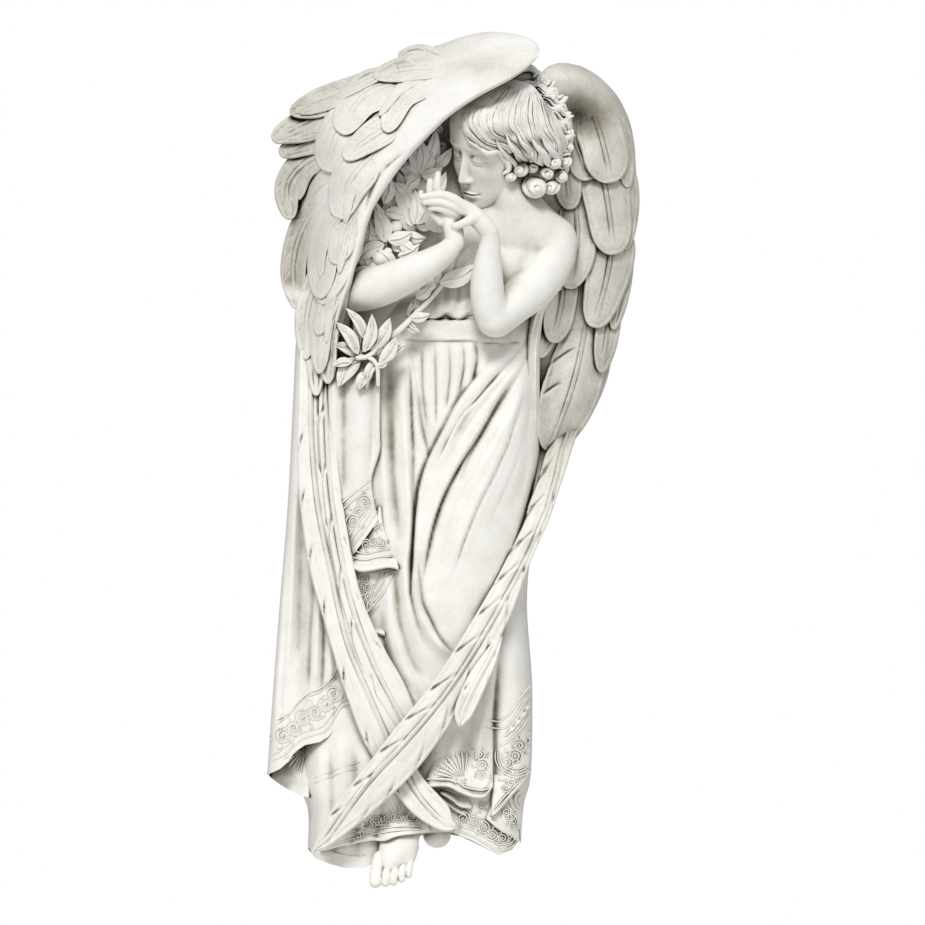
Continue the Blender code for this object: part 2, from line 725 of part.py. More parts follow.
def mark_detail(obj):
    """A vertex group that is full on the plain cloth and empty on the face, hands, leaves and feet."""
    group = obj.vertex_groups.new(name="Plain")
    places = np.zeros(len(obj.data.vertices) * 3)
    obj.data.vertices.foreach_get("co", places)
    x, y, z = places.reshape(-1, 3).T / MM
    fine = np.zeros(len(x), bool)
    for left, right, bottom, top, least_out in DETAIL_BOXES:
        fine |= (x > left) & (x < right) & (z > bottom) & (z < top) & (-y > least_out)
    group.add([int(i) for i in np.flatnonzero(~fine)], 1.0, "REPLACE")
    group.add([int(i) for i in np.flatnonzero(fine)], 0.45, "REPLACE")


def cast(parts):
    """One body from all the shapes: a skin at the voxel size, thinned to facets, its back cut flat."""
    obj = joined("angel_relief", parts)
    remesh = obj.modifiers.new("Casting", "REMESH")
    remesh.mode = "VOXEL"
    remesh.voxel_size = VOXEL * MM
    smooth = obj.modifiers.new("Rubbed", "SMOOTH")
    smooth.factor = 0.5
    smooth.iterations = 1
    baked(obj)
    keep_largest_body(obj)
    mark_detail(obj)
    thin = obj.modifiers.new("Facets", "DECIMATE")
    thin.ratio = FACETS / len(obj.data.polygons)
    thin.vertex_group = "Plain"
    thin.vertex_group_factor = DETAIL_HOLD
    baked(obj)
    trim = obj.modifiers.new("Flat_back", "BOOLEAN")
    trim.operation = "DIFFERENCE"
    trim.object = back_cutter()
    baked(obj)
    keep_largest_body(obj)
    return obj


def back_cutter():
    """A block behind the wall plane, which leaves the flat back."""
    bm = bmesh.new()
    bmesh.ops.create_cube(bm, size=1)
    for vert in bm.verts:
        vert.co = Vector((vert.co.x * 2, (vert.co.y + 0.5) * BACK_TRIM * MM, vert.co.z * 2))
    cutter = mesh_object("back_cutter", bm)
    cutter.hide_render = True
    cutter.display_type = "WIRE"
    into_collection(cutter, "Cutters")
    return cutter


def into_collection(obj, name):
    """Moves an object to the named collection."""
    home = bpy.data.collections.get(name)
    if home is None:
        home = bpy.data.collections.new(name)
        bpy.context.scene.collection.children.link(home)
    for old in list(obj.users_collection):
        old.objects.unlink(obj)
    home.objects.link(obj)


def cast_stone():
    """Off-white cast stone with a matt face."""
    material = bpy.data.materials.new("antique_cast_stone")
    material.use_nodes = True
    shader = material.node_tree.nodes["Principled BSDF"]
    shader.inputs["Base Color"].default_value = (0.78, 0.77, 0.73, 1)
    shader.inputs["Roughness"].default_value = 0.72
    shader.inputs["Metallic"].default_value = 0.0
    return material


def main():
    for obj in list(bpy.data.objects):
        bpy.data.objects.remove(obj)
    parts = clothing() + wings() + figure() + laurel()
    parts += [core("core", *size) for size in CORES]
    angel = cast(parts)
    angel.data.materials.clear()
    angel.data.materials.append(cast_stone())
    angel.data.shade_smooth()
    into_collection(angel, "Angel wall sculpture")


main()
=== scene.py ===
import math

import bpy
import numpy as np
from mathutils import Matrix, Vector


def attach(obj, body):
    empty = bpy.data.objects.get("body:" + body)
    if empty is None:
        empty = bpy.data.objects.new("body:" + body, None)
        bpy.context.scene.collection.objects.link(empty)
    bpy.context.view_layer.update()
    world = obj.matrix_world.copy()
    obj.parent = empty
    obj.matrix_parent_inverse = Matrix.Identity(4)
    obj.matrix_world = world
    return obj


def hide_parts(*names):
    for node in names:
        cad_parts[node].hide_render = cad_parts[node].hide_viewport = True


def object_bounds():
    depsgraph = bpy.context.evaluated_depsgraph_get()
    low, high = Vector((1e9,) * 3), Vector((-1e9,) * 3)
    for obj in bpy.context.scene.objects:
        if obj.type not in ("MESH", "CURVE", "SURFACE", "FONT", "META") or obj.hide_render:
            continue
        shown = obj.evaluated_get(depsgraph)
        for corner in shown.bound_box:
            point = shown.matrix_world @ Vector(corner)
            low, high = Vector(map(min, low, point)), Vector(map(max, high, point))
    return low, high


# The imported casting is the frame: every piece below is worked out in its millimetres,
# x to the right, z up from the hanging point, and out from the wall.
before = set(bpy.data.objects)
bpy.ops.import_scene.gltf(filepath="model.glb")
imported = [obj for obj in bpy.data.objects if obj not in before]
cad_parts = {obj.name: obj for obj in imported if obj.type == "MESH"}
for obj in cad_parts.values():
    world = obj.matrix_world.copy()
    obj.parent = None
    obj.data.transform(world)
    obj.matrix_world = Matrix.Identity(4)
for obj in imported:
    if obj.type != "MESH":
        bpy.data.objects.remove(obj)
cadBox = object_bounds()
castingNode = "angel_relief"

casting = {
    "backGap": 0.3,            # mm between the flat backs, so that no two faces share a plane
    "sharpFrom": 50.0,         # degrees between faces that still shade as one surface
    "settling": {"crease": 1.6, "hollow": 7.0},   # mm round a point over which a hollow is measured
}
viewing = {
    "distance": 8000.0,        # camera to wall, mm, for a long lens
    "centre": (12.5, -162.5),  # x and z that the camera looks at, mm
    "height": 925.0,           # height of the view at the wall, mm
}


# Millimetres (x, z, out) to metres. What stands out is drawn in by its share of the camera
# distance, so an outline keeps its place whatever its depth.
def toScene(points):
    points = np.asarray(points, float)
    near = 1 - points[..., 2:3] / viewing["distance"]
    centre = np.array(viewing["centre"])
    flat = centre + (points[..., :2] - centre) * near
    return np.concatenate([flat[..., :1], -points[..., 2:3], flat[..., 1:2]], axis=-1) * 0.001


# Soft step from 0 to 1: 3t^2 - 2t^3.
def ease(t):
    t = np.clip(t, 0, 1)
    return t * t * (3 - 2 * t)


# Soft bump: exp(-(distance / width)^2).
def bell(distance, width):
    return np.exp(-((distance / width) ** 2))


# Catmull-Rom curve through the points, 16 readings to a span.
def rounded(points):
    p = np.asarray(points, float)
    if len(p) == 2:
        return p[0] + (p[1] - p[0]) * np.linspace(0, 1, 17)[:, None]
    ends = np.vstack([2 * p[0] - p[1], p, 2 * p[-1] - p[-2]])
    t = np.linspace(0, len(p) - 1, 16 * len(p))
    i = np.minimum(t.astype(int), len(p) - 2)
    u = (t - i)[:, None]
    a, b, c, d = ends[i], ends[i + 1], ends[i + 2], ends[i + 3]
    return 0.5 * (2 * b + (c - a) * u + (2 * a - 5 * b + 4 * c - d) * u**2 + (3 * b - a - 3 * c + d) * u**3)


# The same curve read at evenly spaced lengths, or at the given shares of its length.
def smoothPath(points, count=None, shares=None):
    fine = rounded(points)
    run = np.concatenate([[0], np.cumsum(np.linalg.norm(np.diff(fine[:, :2], axis=0), axis=1))])
    if shares is None:
        shares = np.linspace(0, 1, count or 10 * len(points))
    at = np.asarray(shares) * run[-1]
    return np.column_stack([np.interp(at, run, column) for column in fine.T])


# Length of that curve, seen from in front.
def pathLength(points):
    return float(np.linalg.norm(np.diff(rounded(points)[:, :2], axis=0), axis=1).sum())


# A table read smoothly at any value of its first column.
def course(table, at):
    fine = rounded(table)
    if fine[0, 0] > fine[-1, 0]:
        fine = fine[::-1]
    return [np.interp(at, fine[:, 0], fine[:, k]) for k in range(1, fine.shape[1])]


# Distance of every point to a path, above zero on its left, and how far along it, from 0 to 1.
# Only points within reach are worked out: the mask says which.
def pathField(x, z, path, reach):
    line = smoothPath(path, max(12, int(pathLength(path) / 4)))
    low, high = line[:, :2].min(0) - reach, line[:, :2].max(0) + reach
    near = (x > low[0]) & (x < high[0]) & (z > low[1]) & (z < high[1])
    px, pz = x[near], z[near]
    best = np.full(px.shape, 1e9)
    signed = np.full(px.shape, 1e9)
    along = np.zeros(px.shape)
    step = line[1:, :2] - line[:-1, :2]
    size = (step**2).sum(1)
    for k in range(len(step)):
        dx, dz = px - line[k, 0], pz - line[k, 1]
        share = np.clip((dx * step[k, 0] + dz * step[k, 1]) / size[k], 0, 1)
        gx, gz = dx - share * step[k, 0], dz - share * step[k, 1]
        gap = np.hypot(gx, gz)
        nearer = gap < best
        best = np.where(nearer, gap, best)
        signed = np.where(nearer, np.where(step[k, 0] * gz - step[k, 1] * gx > 0, gap, -gap), signed)
        along = np.where(nearer, (k + share) / len(step), along)
    return near, signed, along


# Quads of a grid whose columns go right and whose rows go up, seen from in front.
def gridFaces(rows, cols, wrap=False):
    index = np.arange(rows * cols).reshape(rows, cols)
    if wrap:
        index = np.concatenate([index, index[:, :1]], axis=1)
    return np.stack([index[:-1, :-1], index[:-1, 1:], index[1:, 1:],
                     index[1:, :-1]], axis=-1).reshape(-1, 4)


# A closed part with its faces turned outwards, found from the sign of its volume.
def outwards(points, quads):
    a, b, c, d = (toScene(points - points.mean(0))[quads[:, k]] for k in range(4))
    volume = (np.einsum("ij,ij->i", a, np.cross(b, c)) + np.einsum("ij,ij->i", a, np.cross(c, d))).sum()
    return points, quads[:, ::-1] if volume < 0 else quads


# A closed body through rings of an even number of points, with each end stitched shut.
def tube(rings):
    rows, cols = rings.shape[:2]
    faces = gridFaces(rows, cols, wrap=True)
    k = np.arange(cols // 2 - 1)
    cap = np.stack([k, k + 1, cols - 2 - k, cols - 1 - k], axis=-1)
    quads = np.concatenate([faces, cap, cap[:, ::-1] + (rows - 1) * cols])
    return outwards(rings.reshape(-1, rings.shape[-1]), quads)


# A body from a front grid and a back whose columns return from its last column to its first.
def closed(front, back):
    return tube(np.concatenate([front, back], axis=1))


# Which of the front's columns such a back is made behind, the given number of them.
def columnsBack(cols, backs):
    return np.linspace(cols - 1, 0, backs).astype(int)


# Half as many columns as the front has, or one more, so that a ring's count is even.
def backColumns(cols):
    return cols // 2 + (cols + cols // 2) % 2


tuck = {
    "draw": 0.08,            # share by which the tucked ring narrows
    "low": 8.0,              # mm from the wall that its back keeps, and its front at least
    "high": 9.0,
}


# Rings with one more at the chosen end, drawn back and up: it tucks a wavy hem under, so that the
# stitching of that end is out of sight.
def tucked(rings, end, out, rise):
    inner = rings[end].copy()
    inner[:, 1] += rise
    inner[:, 0] += (inner[:, 0].mean() - inner[:, 0]) * tuck["draw"]
    inner[:, 2] = np.clip(inner[:, 2], tuck["low"], max(out, tuck["high"]))
    return np.concatenate([inner[None], rings] if end == 0 else [rings, inner[None]])


# Several closed parts as one list of points and one of quads. A point's fourth number, where it
# has one, counts combed lines.
def merged(parts):
    starts = np.cumsum([0] + [len(points) for points, _ in parts[:-1]])
    points = np.concatenate([np.pad(points, ((0, 0), (0, 4 - points.shape[1]))) for points, _ in parts])
    return points, np.concatenate([quads + start for (_, quads), start in zip(parts, starts)])


# Round section of the given size carried along a spine of (x, z, out); a size may vary over the
# rows and round the section.
def roundTube(spine, size, turn):
    along = np.gradient(spine, axis=0)
    along /= np.linalg.norm(along, axis=1, keepdims=True)
    side = np.cross(along, np.array([0, 0, 1.0]))
    side /= np.linalg.norm(side, axis=1, keepdims=True)
    up = np.cross(side, along)
    return tube(spine[:, None] + size * (np.cos(turn) * side[:, None] + np.sin(turn) * up[:, None]))


# A ball as rings from its back to its front.
def ball(x, z, out, radius, rings=18, points=26):
    turn = np.linspace(0, 2 * math.pi, points, endpoint=False)[None, :]
    lift = np.linspace(-0.49, 0.49, rings)[:, None] * math.pi
    flat = radius * np.cos(lift)
    return tube(np.dstack(np.broadcast_arrays(x + flat * np.cos(turn), z + flat * np.sin(turn),
                                              out + radius * np.sin(lift))))


# The ends of every edge of the quads, and a function that gives each point its neighbours' mean.
def neighbours(quads, count):
    first, second = np.concatenate([quads[:, [k, (k + 1) % 4]] for k in range(4)]).T
    degree = np.maximum(np.bincount(first, minlength=count) + np.bincount(second, minlength=count), 1)

    def mean(points):
        return np.stack([(np.bincount(first, points[second, axis], minlength=count)
                          + np.bincount(second, points[first, axis], minlength=count)) / degree
                         for axis in range(3)], axis=-1)

    return first, second, mean


# How far each point lies below the smoothed skin, in mm along its normal: the skin is relaxed
# as many times as its spacing needs to reach the radius. Above zero in a hollow.
def hollowness(points, quads, radius):
    count = len(points)
    first, second, mean = neighbours(quads, count)
    spacing = np.median(np.linalg.norm(points[first] - points[second], axis=1))
    a, b, c, d = (points[quads[:, k]] for k in range(4))
    faceNormal = np.cross(c - a, d - b)
    normal = np.stack([sum(np.bincount(quads[:, k], faceNormal[:, axis], minlength=count) for k in range(4))
                       for axis in range(3)], axis=-1)
    normal /= np.linalg.norm(normal, axis=1, keepdims=True) + 1e-12
    relaxed = points
    for _ in range(int(np.clip((radius / spacing) ** 2, 1, 60))):
        relaxed = mean(relaxed)
    return ((relaxed - points) * normal).sum(1)


# Painted shade round a spot: (x, z, half width, half height, amount), falling off as a bell.
def paintedShadeOf(*spots):
    def amount(points):
        return sum(most * np.exp(-(((points[:, 0] - x) / halfX) ** 2) - ((points[:, 1] - z) / halfZ) ** 2)
                   for x, z, halfX, halfZ, most in spots)

    return amount


# One object from closed parts. Its attributes say where a wash of colour would settle, in fine
# creases and in broad hollows, where combed lines run, and how much painted shade each point
# carries, with painted light where that amount is below zero.
def makePiece(name, parts, wash=0.0):
    points, quads = merged(parts)
    points[:, 2] = np.maximum(points[:, 2], casting["backGap"] * len(bpy.data.meshes))
    place = toScene(points)
    mesh = bpy.data.meshes.new(name)
    mesh.vertices.add(len(place))
    mesh.vertices.foreach_set("co", place.ravel())
    mesh.loops.add(quads.size)
    mesh.loops.foreach_set("vertex_index", quads.ravel().astype(np.int32))
    mesh.polygons.add(len(quads))
    mesh.polygons.foreach_set("loop_start", np.arange(0, quads.size, 4, dtype=np.int32))
    mesh.polygons.foreach_set("loop_total", np.full(len(quads), 4, np.int32))
    mesh.update(calc_edges=True)
    layers = {label: hollowness(place * 1000, quads, radius) for label,
              radius in casting["settling"].items()}
    layers["comb"] = points[:, 3]
    layers["wash"] = wash(points) if callable(wash) else np.full(len(points), wash)
    for label, values in layers.items():
        mesh.attributes.new(label, "FLOAT", "POINT").data.foreach_set("value", values.astype(np.float32))
    mesh.shade_smooth()
    mesh.set_sharp_from_angle(angle=math.radians(casting["sharpFrom"]))
    mesh.materials.append(castStoneMaterial)
    piece = bpy.data.objects.new(name, mesh)
    bpy.context.scene.collection.objects.link(piece)
    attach(piece, "root")
    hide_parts(castingNode)
    print("made", name, len(quads) * 2, "triangles")


# The bed: how far out the carving stands so far, every 2 mm, for the next pieces to be laid on.
bed = {
    "step": 2.0,               # mm
    "left": -220.0,
    "bottom": -640.0,
    "columns": 221,
    "rows": 471,
    "known": 0.5,              # mm from the wall above which something stands in a cell
    "spread": 10,              # cells by which gaps are filled from their rims
}
bedMap = np.zeros((bed["rows"], bed["columns"]))
bedLevel = bedMap.copy()


# Place of (x, z) on the bed, counted in cells from its lower left corner.
def bedCell(x, z):
    x, z = np.asarray(x, float), np.asarray(z, float)
    return (x - bed["left"]) / bed["step"], (z - bed["bottom"]) / bed["step"]


# Raises the bed to the given grid of points, read twice as finely as its own quads.
def layDown(grid):
    rows, cols = (np.linspace(0, count - 1, count * 2 - 1) for count in grid.shape[:2])
    r0, c0 = rows.astype(int), cols.astype(int)
    r1, c1 = np.minimum(r0 + 1, grid.shape[0] - 1), np.minimum(c0 + 1, grid.shape[1] - 1)
    fr, fc = (rows - r0)[:, None, None], (cols - c0)[None, :, None]
    fine = (grid[r0][:, c0] * (1 - fr) * (1 - fc) + grid[r1][:, c0] * fr * (1 - fc)
            + grid[r0][:, c1] * (1 - fr) * fc + grid[r1][:, c1] * fr * fc)
    col, row = (np.rint(cell).astype(int).ravel() for cell in bedCell(fine[..., 0], fine[..., 1]))
    inside = np.clip(row, 0, bed["rows"] - 1), np.clip(col, 0, bed["columns"] - 1)
    np.maximum.at(bedMap, inside, fine[..., 2].ravel())


# Sum of a map over each cell and its eight neighbours.
def nineSum(level):
    padded = np.pad(level, 1, mode="edge")
    line = padded[:, :-2] + padded[:, 1:-1] + padded[:, 2:]
    return line[:-2] + line[1:-1] + line[2:]


# Fills the bed's empty cells from their neighbours, a cell further each time, and softens it.
def settle(soften=1):
    level, known = bedMap.copy(), bedMap > bed["known"]
    for _ in range(bed["spread"]):
        weight = nineSum(known.astype(float))
        fill = ~known & (weight > 0)
        level[fill] = (nineSum(level * known) / np.maximum(weight, 1))[fill]
        known |= fill
    for _ in range(soften):
        level = nineSum(level) / 9
    bedLevel[:] = level


# A map read between its cells.
def between(level, col, row):
    col, row = np.clip(col, 0, level.shape[1] - 1.001), np.clip(row, 0, level.shape[0] - 1.001)
    c, r = col.astype(int), row.astype(int)
    fc, fr = col - c, row - r
    return ((level[r, c] * (1 - fc) + level[r, c + 1] * fc) * (1 - fr)
            + (level[r + 1, c] * (1 - fc) + level[r + 1, c + 1] * fc) * fr)


# How far out the bed stands at (x, z).
def bedAt(x, z):
    return between(bedLevel, *bedCell(x, z))


# The level of the bed round a grid of points once its steps are smoothed away. Cells where nothing
# stands yet take no part, so it doesn't sag at the outline.
def groundUnder(x, z, rounds):
    col, row = bedCell(x, z)
    margin = 2 * rounds + 2
    c0, r0 = int(max(col.min() - margin, 0)), int(max(row.min() - margin, 0))
    top = bedMap[r0:int(row.max() + margin), c0:int(col.max() + margin)].copy()
    known = (top > bed["known"]).astype(float)
    for _ in range(rounds):
        top, known = nineSum(top) / 9, nineSum(known) / 9
    return between(top / np.maximum(known, 1e-4), col - c0, row - r0)


# Unit directions along and across a row of (x, z) points; across points to the left of the way.
def waysOf(line):
    along = np.gradient(line[:, :2], axis=0)
    along /= np.linalg.norm(along, axis=1, keepdims=True) + 1e-9
    return along, np.column_stack([-along[:, 1], along[:, 0]])


# A path given its depth from the bed: a cubic through the readings, so it bridges small steps.
def bedded(line, lift):
    shares = np.linspace(0, 1, len(line))
    level = np.polyval(np.polyfit(shares, bedAt(line[:, 0], line[:, 1]), 3), shares)
    return np.column_stack([line[:, :2], level + lift])


# How the plain backs of feathers, leaves and locks are made.
backing = {
    "rim": 0.7,              # mm over which a rim rounds down
    "narrow": 0.97,          # width of the back for the front's width
    "belly": 0.06,           # share by which the back is drawn in at its middle
    "least": 0.25,           # share of the thickness at the very rim
    "swell": 1.6,            # how fast the thickness grows with the half width
}


# A long thin body: a spine of (x, z, out), its half widths to the left and right, and how it is
# modelled. Each section is spine - camber * half * t^2 + relief, closed by a plain back.
def vane(spine, left, right, thick, relief, camber, spacing, edgeDrop=0.8, comb=None):
    _, across = waysOf(spine)
    cols = 2 * max(4, int((left + right).max() / spacing / 2)) + 1
    t = np.linspace(-1, 1, cols)[None, :]
    half = np.where(t > 0, left[:, None], right[:, None])
    offset = t * half                                     # mm across, above zero to the left
    run = np.concatenate([[0], np.cumsum(np.linalg.norm(np.diff(spine[:, :2], axis=0), axis=1))])[:, None]
    edge = half * (1 - np.abs(t))                         # mm from the rim
    lip = spine[:, 2:3] - camber * half * t**2 - edgeDrop * np.exp(-edge / backing["rim"])
    out = lip + relief(run, offset, t, edge, run[-1, 0] - run)
    lines = np.zeros(out.shape) if comb is None else comb(run + 0 * offset, offset)
    front = np.dstack([spine[:, None, :2] + across[:, None, :] * offset[..., None], out, lines])
    pick = columnsBack(cols, backColumns(cols))
    inward = 1 - backing["belly"] * np.sin(np.linspace(0, math.pi, len(pick)))
    under = np.minimum(thick, backing["least"] * thick + backing["swell"] * half[:, pick])
    behind = spine[:, None, :2] + across[:, None, :] * (offset[:, pick] * backing["narrow"])[..., None]
    return front, closed(front, np.dstack([behind, lip[:, pick] - under * inward, lines[:, pick]]))


# An sRGB hex colour as linear values with alpha.
def linearColour(code):
    channels = [int(code[k:k + 2], 16) / 255 for k in (1, 3, 5)]
    return [*((c / 12.92 if c <= 0.04045 else ((c + 0.055) / 1.055) ** 2.4) for c in channels), 1.0]


# Adds a named node with its properties and socket values, and links its inputs; each link says
# where it comes from as "node.output".
def addNode(tree, name, kind, settings=None, links=None, values=None):
    node = tree.nodes.new(kind)
    node.name = name
    for key, value in (settings or {}).items():
        setattr(node, key, value)
    for key, value in (values or {}).items():
        node.inputs[key].default_value = value
    for key, source in (links or {}).items():
        other, output = source.split(".")
        tree.links.new(tree.nodes[other].outputs[output], node.inputs[key])
    return node


stone = {
    "face": "#F5F3EE",        # rubbed high places
    "body": "#E4E1D9",        # the cast colour where nothing was rubbed
    "wash": "#989284",        # grey-brown wash in hollows, also the tone of painted shade
    "deep": "#1E1A15",        # darkest, where wash and painted shade lie thickest: the deepest creases and shut-in places
    "stops": [(0.16, "body"), (0.52, "wash")],
    # patterns of the casting: mm across, how many finer layers, how rough they are
    "patterns": {
        "mottle": (24.0, 4.0, 0.6),       # patches where the wash was wiped unevenly
        "grain": (0.9, 3.0, 0.7),         # sand grain
        "speck": (4.0, 3.0, 0.75),        # small pits and flecks
        "patches": (16.0, 3.0, 0.5),      # places where combed lines show and where they are worn away
    },
    "near": {"open": 0.022, "tight": 0.005},   # metres within which a place counts as shut in
    # how much wash and painted shade settles: what is measured, from and to which value, and the amount
    # at each. Hollows, creases, combed lines, patches and mottle carry wash; shut-in places and tight
    # corners carry wash and painted shade; the depth from the wall carries only painted shade
    "settles": {
        "inHollow": ("hollow.Fac", 0.15, 2.6, 0.0, 0.34),
        "inCrease": ("crease.Fac", 0.04, 0.6, 0.0, 0.38),
        # wash and painted shade where ambient occlusion finds a place shut in or in a tight corner
        "shutIn": ("open.AO", 0.72, 0.12, 0.0, 0.8),
        "inCorner": ("tight.AO", 0.6, 0.05, 0.0, 0.6),
        "inLine": ("ridge.Value", 0.7, 0.0, 0.0, 0.08),
        "patchy": ("patches.Fac", 0.42, 0.62, 0.1, 1.0),
        "uneven": ("mottle.Fac", 0.3, 0.7, 0.75, 1.25),
        # painted shade: darker the nearer a place lies to the wall
        "byDepth": ("split.Y", -0.105, -0.02, 0.0, 0.26),
        "cloudy": ("mottle.Fac", 0.35, 0.7, -0.02, 0.07),
        "specks": ("speck.Fac", 0.35, 0.75, -0.02, 0.05),
    },
    # raised detail: height it comes from, strength, metres
    "raised": {"sandy": ("grain.Fac", 0.2, 0.0004), "pitted": ("speck.Fac", 0.15, 0.0012)},
    "combed": 0.0003,         # metres that combed lines stand out
    "roughness": 0.8,
    "ior": 1.5,
    "specular": 0.25,
}


# Cast stone, moulded and washed with grey-brown: a dry matt face, pale where it was wiped.
# Painted shade and painted light are mixed into the same colour.
def castStone():
    material = bpy.data.materials.new("antiqueCastStone")
    material.use_nodes = True
    tree = material.node_tree
    shader = tree.nodes["Principled BSDF"]
    shader.inputs["Roughness"].default_value = stone["roughness"]
    shader.inputs["IOR"].default_value = stone["ior"]
    shader.inputs["Specular IOR Level"].default_value = stone["specular"]
    addNode(tree, "place", "ShaderNodeTexCoord")
    addNode(tree, "split", "ShaderNodeSeparateXYZ", links={0: "place.Object"})
    for name, (size, detail, rough) in stone["patterns"].items():
        addNode(tree, name, "ShaderNodeTexNoise", links={"Vector": "place.Object"},
                values={"Scale": 1000 / size, "Detail": detail, "Roughness": rough})
    for name in ("crease", "hollow", "comb", "wash"):
        addNode(tree, name, "ShaderNodeAttribute", {"attribute_name": name})
    for name, reach in stone["near"].items():
        addNode(tree, name, "ShaderNodeAmbientOcclusion", {"samples": 5}, values={"Distance": reach})
    # Combed lines are ridges |cos(pi * count)|.
    addNode(tree, "turn", "ShaderNodeMath", {"operation": "MULTIPLY"}, {0: "comb.Fac"}, {1: math.pi})
    addNode(tree, "wave", "ShaderNodeMath", {"operation": "COSINE"}, {0: "turn.Value"})
    addNode(tree, "ridge", "ShaderNodeMath", {"operation": "ABSOLUTE"}, {0: "wave.Value"})
    for name, (source, low, high, least, most) in stone["settles"].items():
        addNode(tree, name, "ShaderNodeMapRange", {"clamp": True}, {"Value": source},
                {"From Min": low, "From Max": high, "To Min": least, "To Max": most})
    # Wash and painted shade add up: wash in broad hollows and fine creases, wash and painted shade in
    # shut-in places and tight corners, combed lines, all of it made uneven by the mottle, then painted
    # shade on the ground nearest the wall, each piece's painted shadows and painted light, clouds and
    # specks.
    addNode(tree, "lines", "ShaderNodeMath", {"operation": "MULTIPLY"},
            {0: "inLine.Result", 1: "patchy.Result"})
    # shut-in places and tight corners together: wash and painted shade
    addNode(tree, "narrow", "ShaderNodeMath", {"operation": "ADD"},
            {0: "shutIn.Result", 1: "inCorner.Result"})
    total = "inHollow.Result"
    for number, (operation, source) in enumerate([
            ("ADD", "inCrease.Result"), ("ADD", "narrow.Value"), ("ADD", "lines.Value"),
            ("MULTIPLY", "uneven.Result"), ("ADD", "byDepth.Result"), ("ADD", "wash.Fac"),
            ("ADD", "cloudy.Result"), ("ADD", "specks.Result")]):
        amount = addNode(tree, f"sum{number}", "ShaderNodeMath", {"operation": operation},
                         {0: total, 1: source})
        total = f"sum{number}.Value"
    amount.use_clamp = True
    tone = addNode(tree, "tone", "ShaderNodeValToRGB", links={"Fac": total})
    addNode(tree, "combed", "ShaderNodeBump", links={"Height": "ridge.Value", "Strength": "patchy.Result"},
            values={"Distance": stone["combed"]})
    normal = "combed.Normal"
    for name, (height, strength, reach) in stone["raised"].items():
        raised = addNode(tree, name, "ShaderNodeBump", links={"Height": height, "Normal": normal},
                         values={"Strength": strength, "Distance": reach})
        normal = f"{name}.Normal"
    stops = tone.color_ramp.elements
    stops[0].position, stops[0].color = 0.0, linearColour(stone["face"])
    stops[1].position, stops[1].color = 1.0, linearColour(stone["deep"])
    for position, key in stone["stops"]:
        stops.new(position).color = linearColour(stone[key])
    tree.links.new(tone.outputs["Color"], shader.inputs["Base Color"])
    tree.links.new(raised.outputs["Normal"], shader.inputs["Normal"])
    return material


castStoneMaterial = castStone()


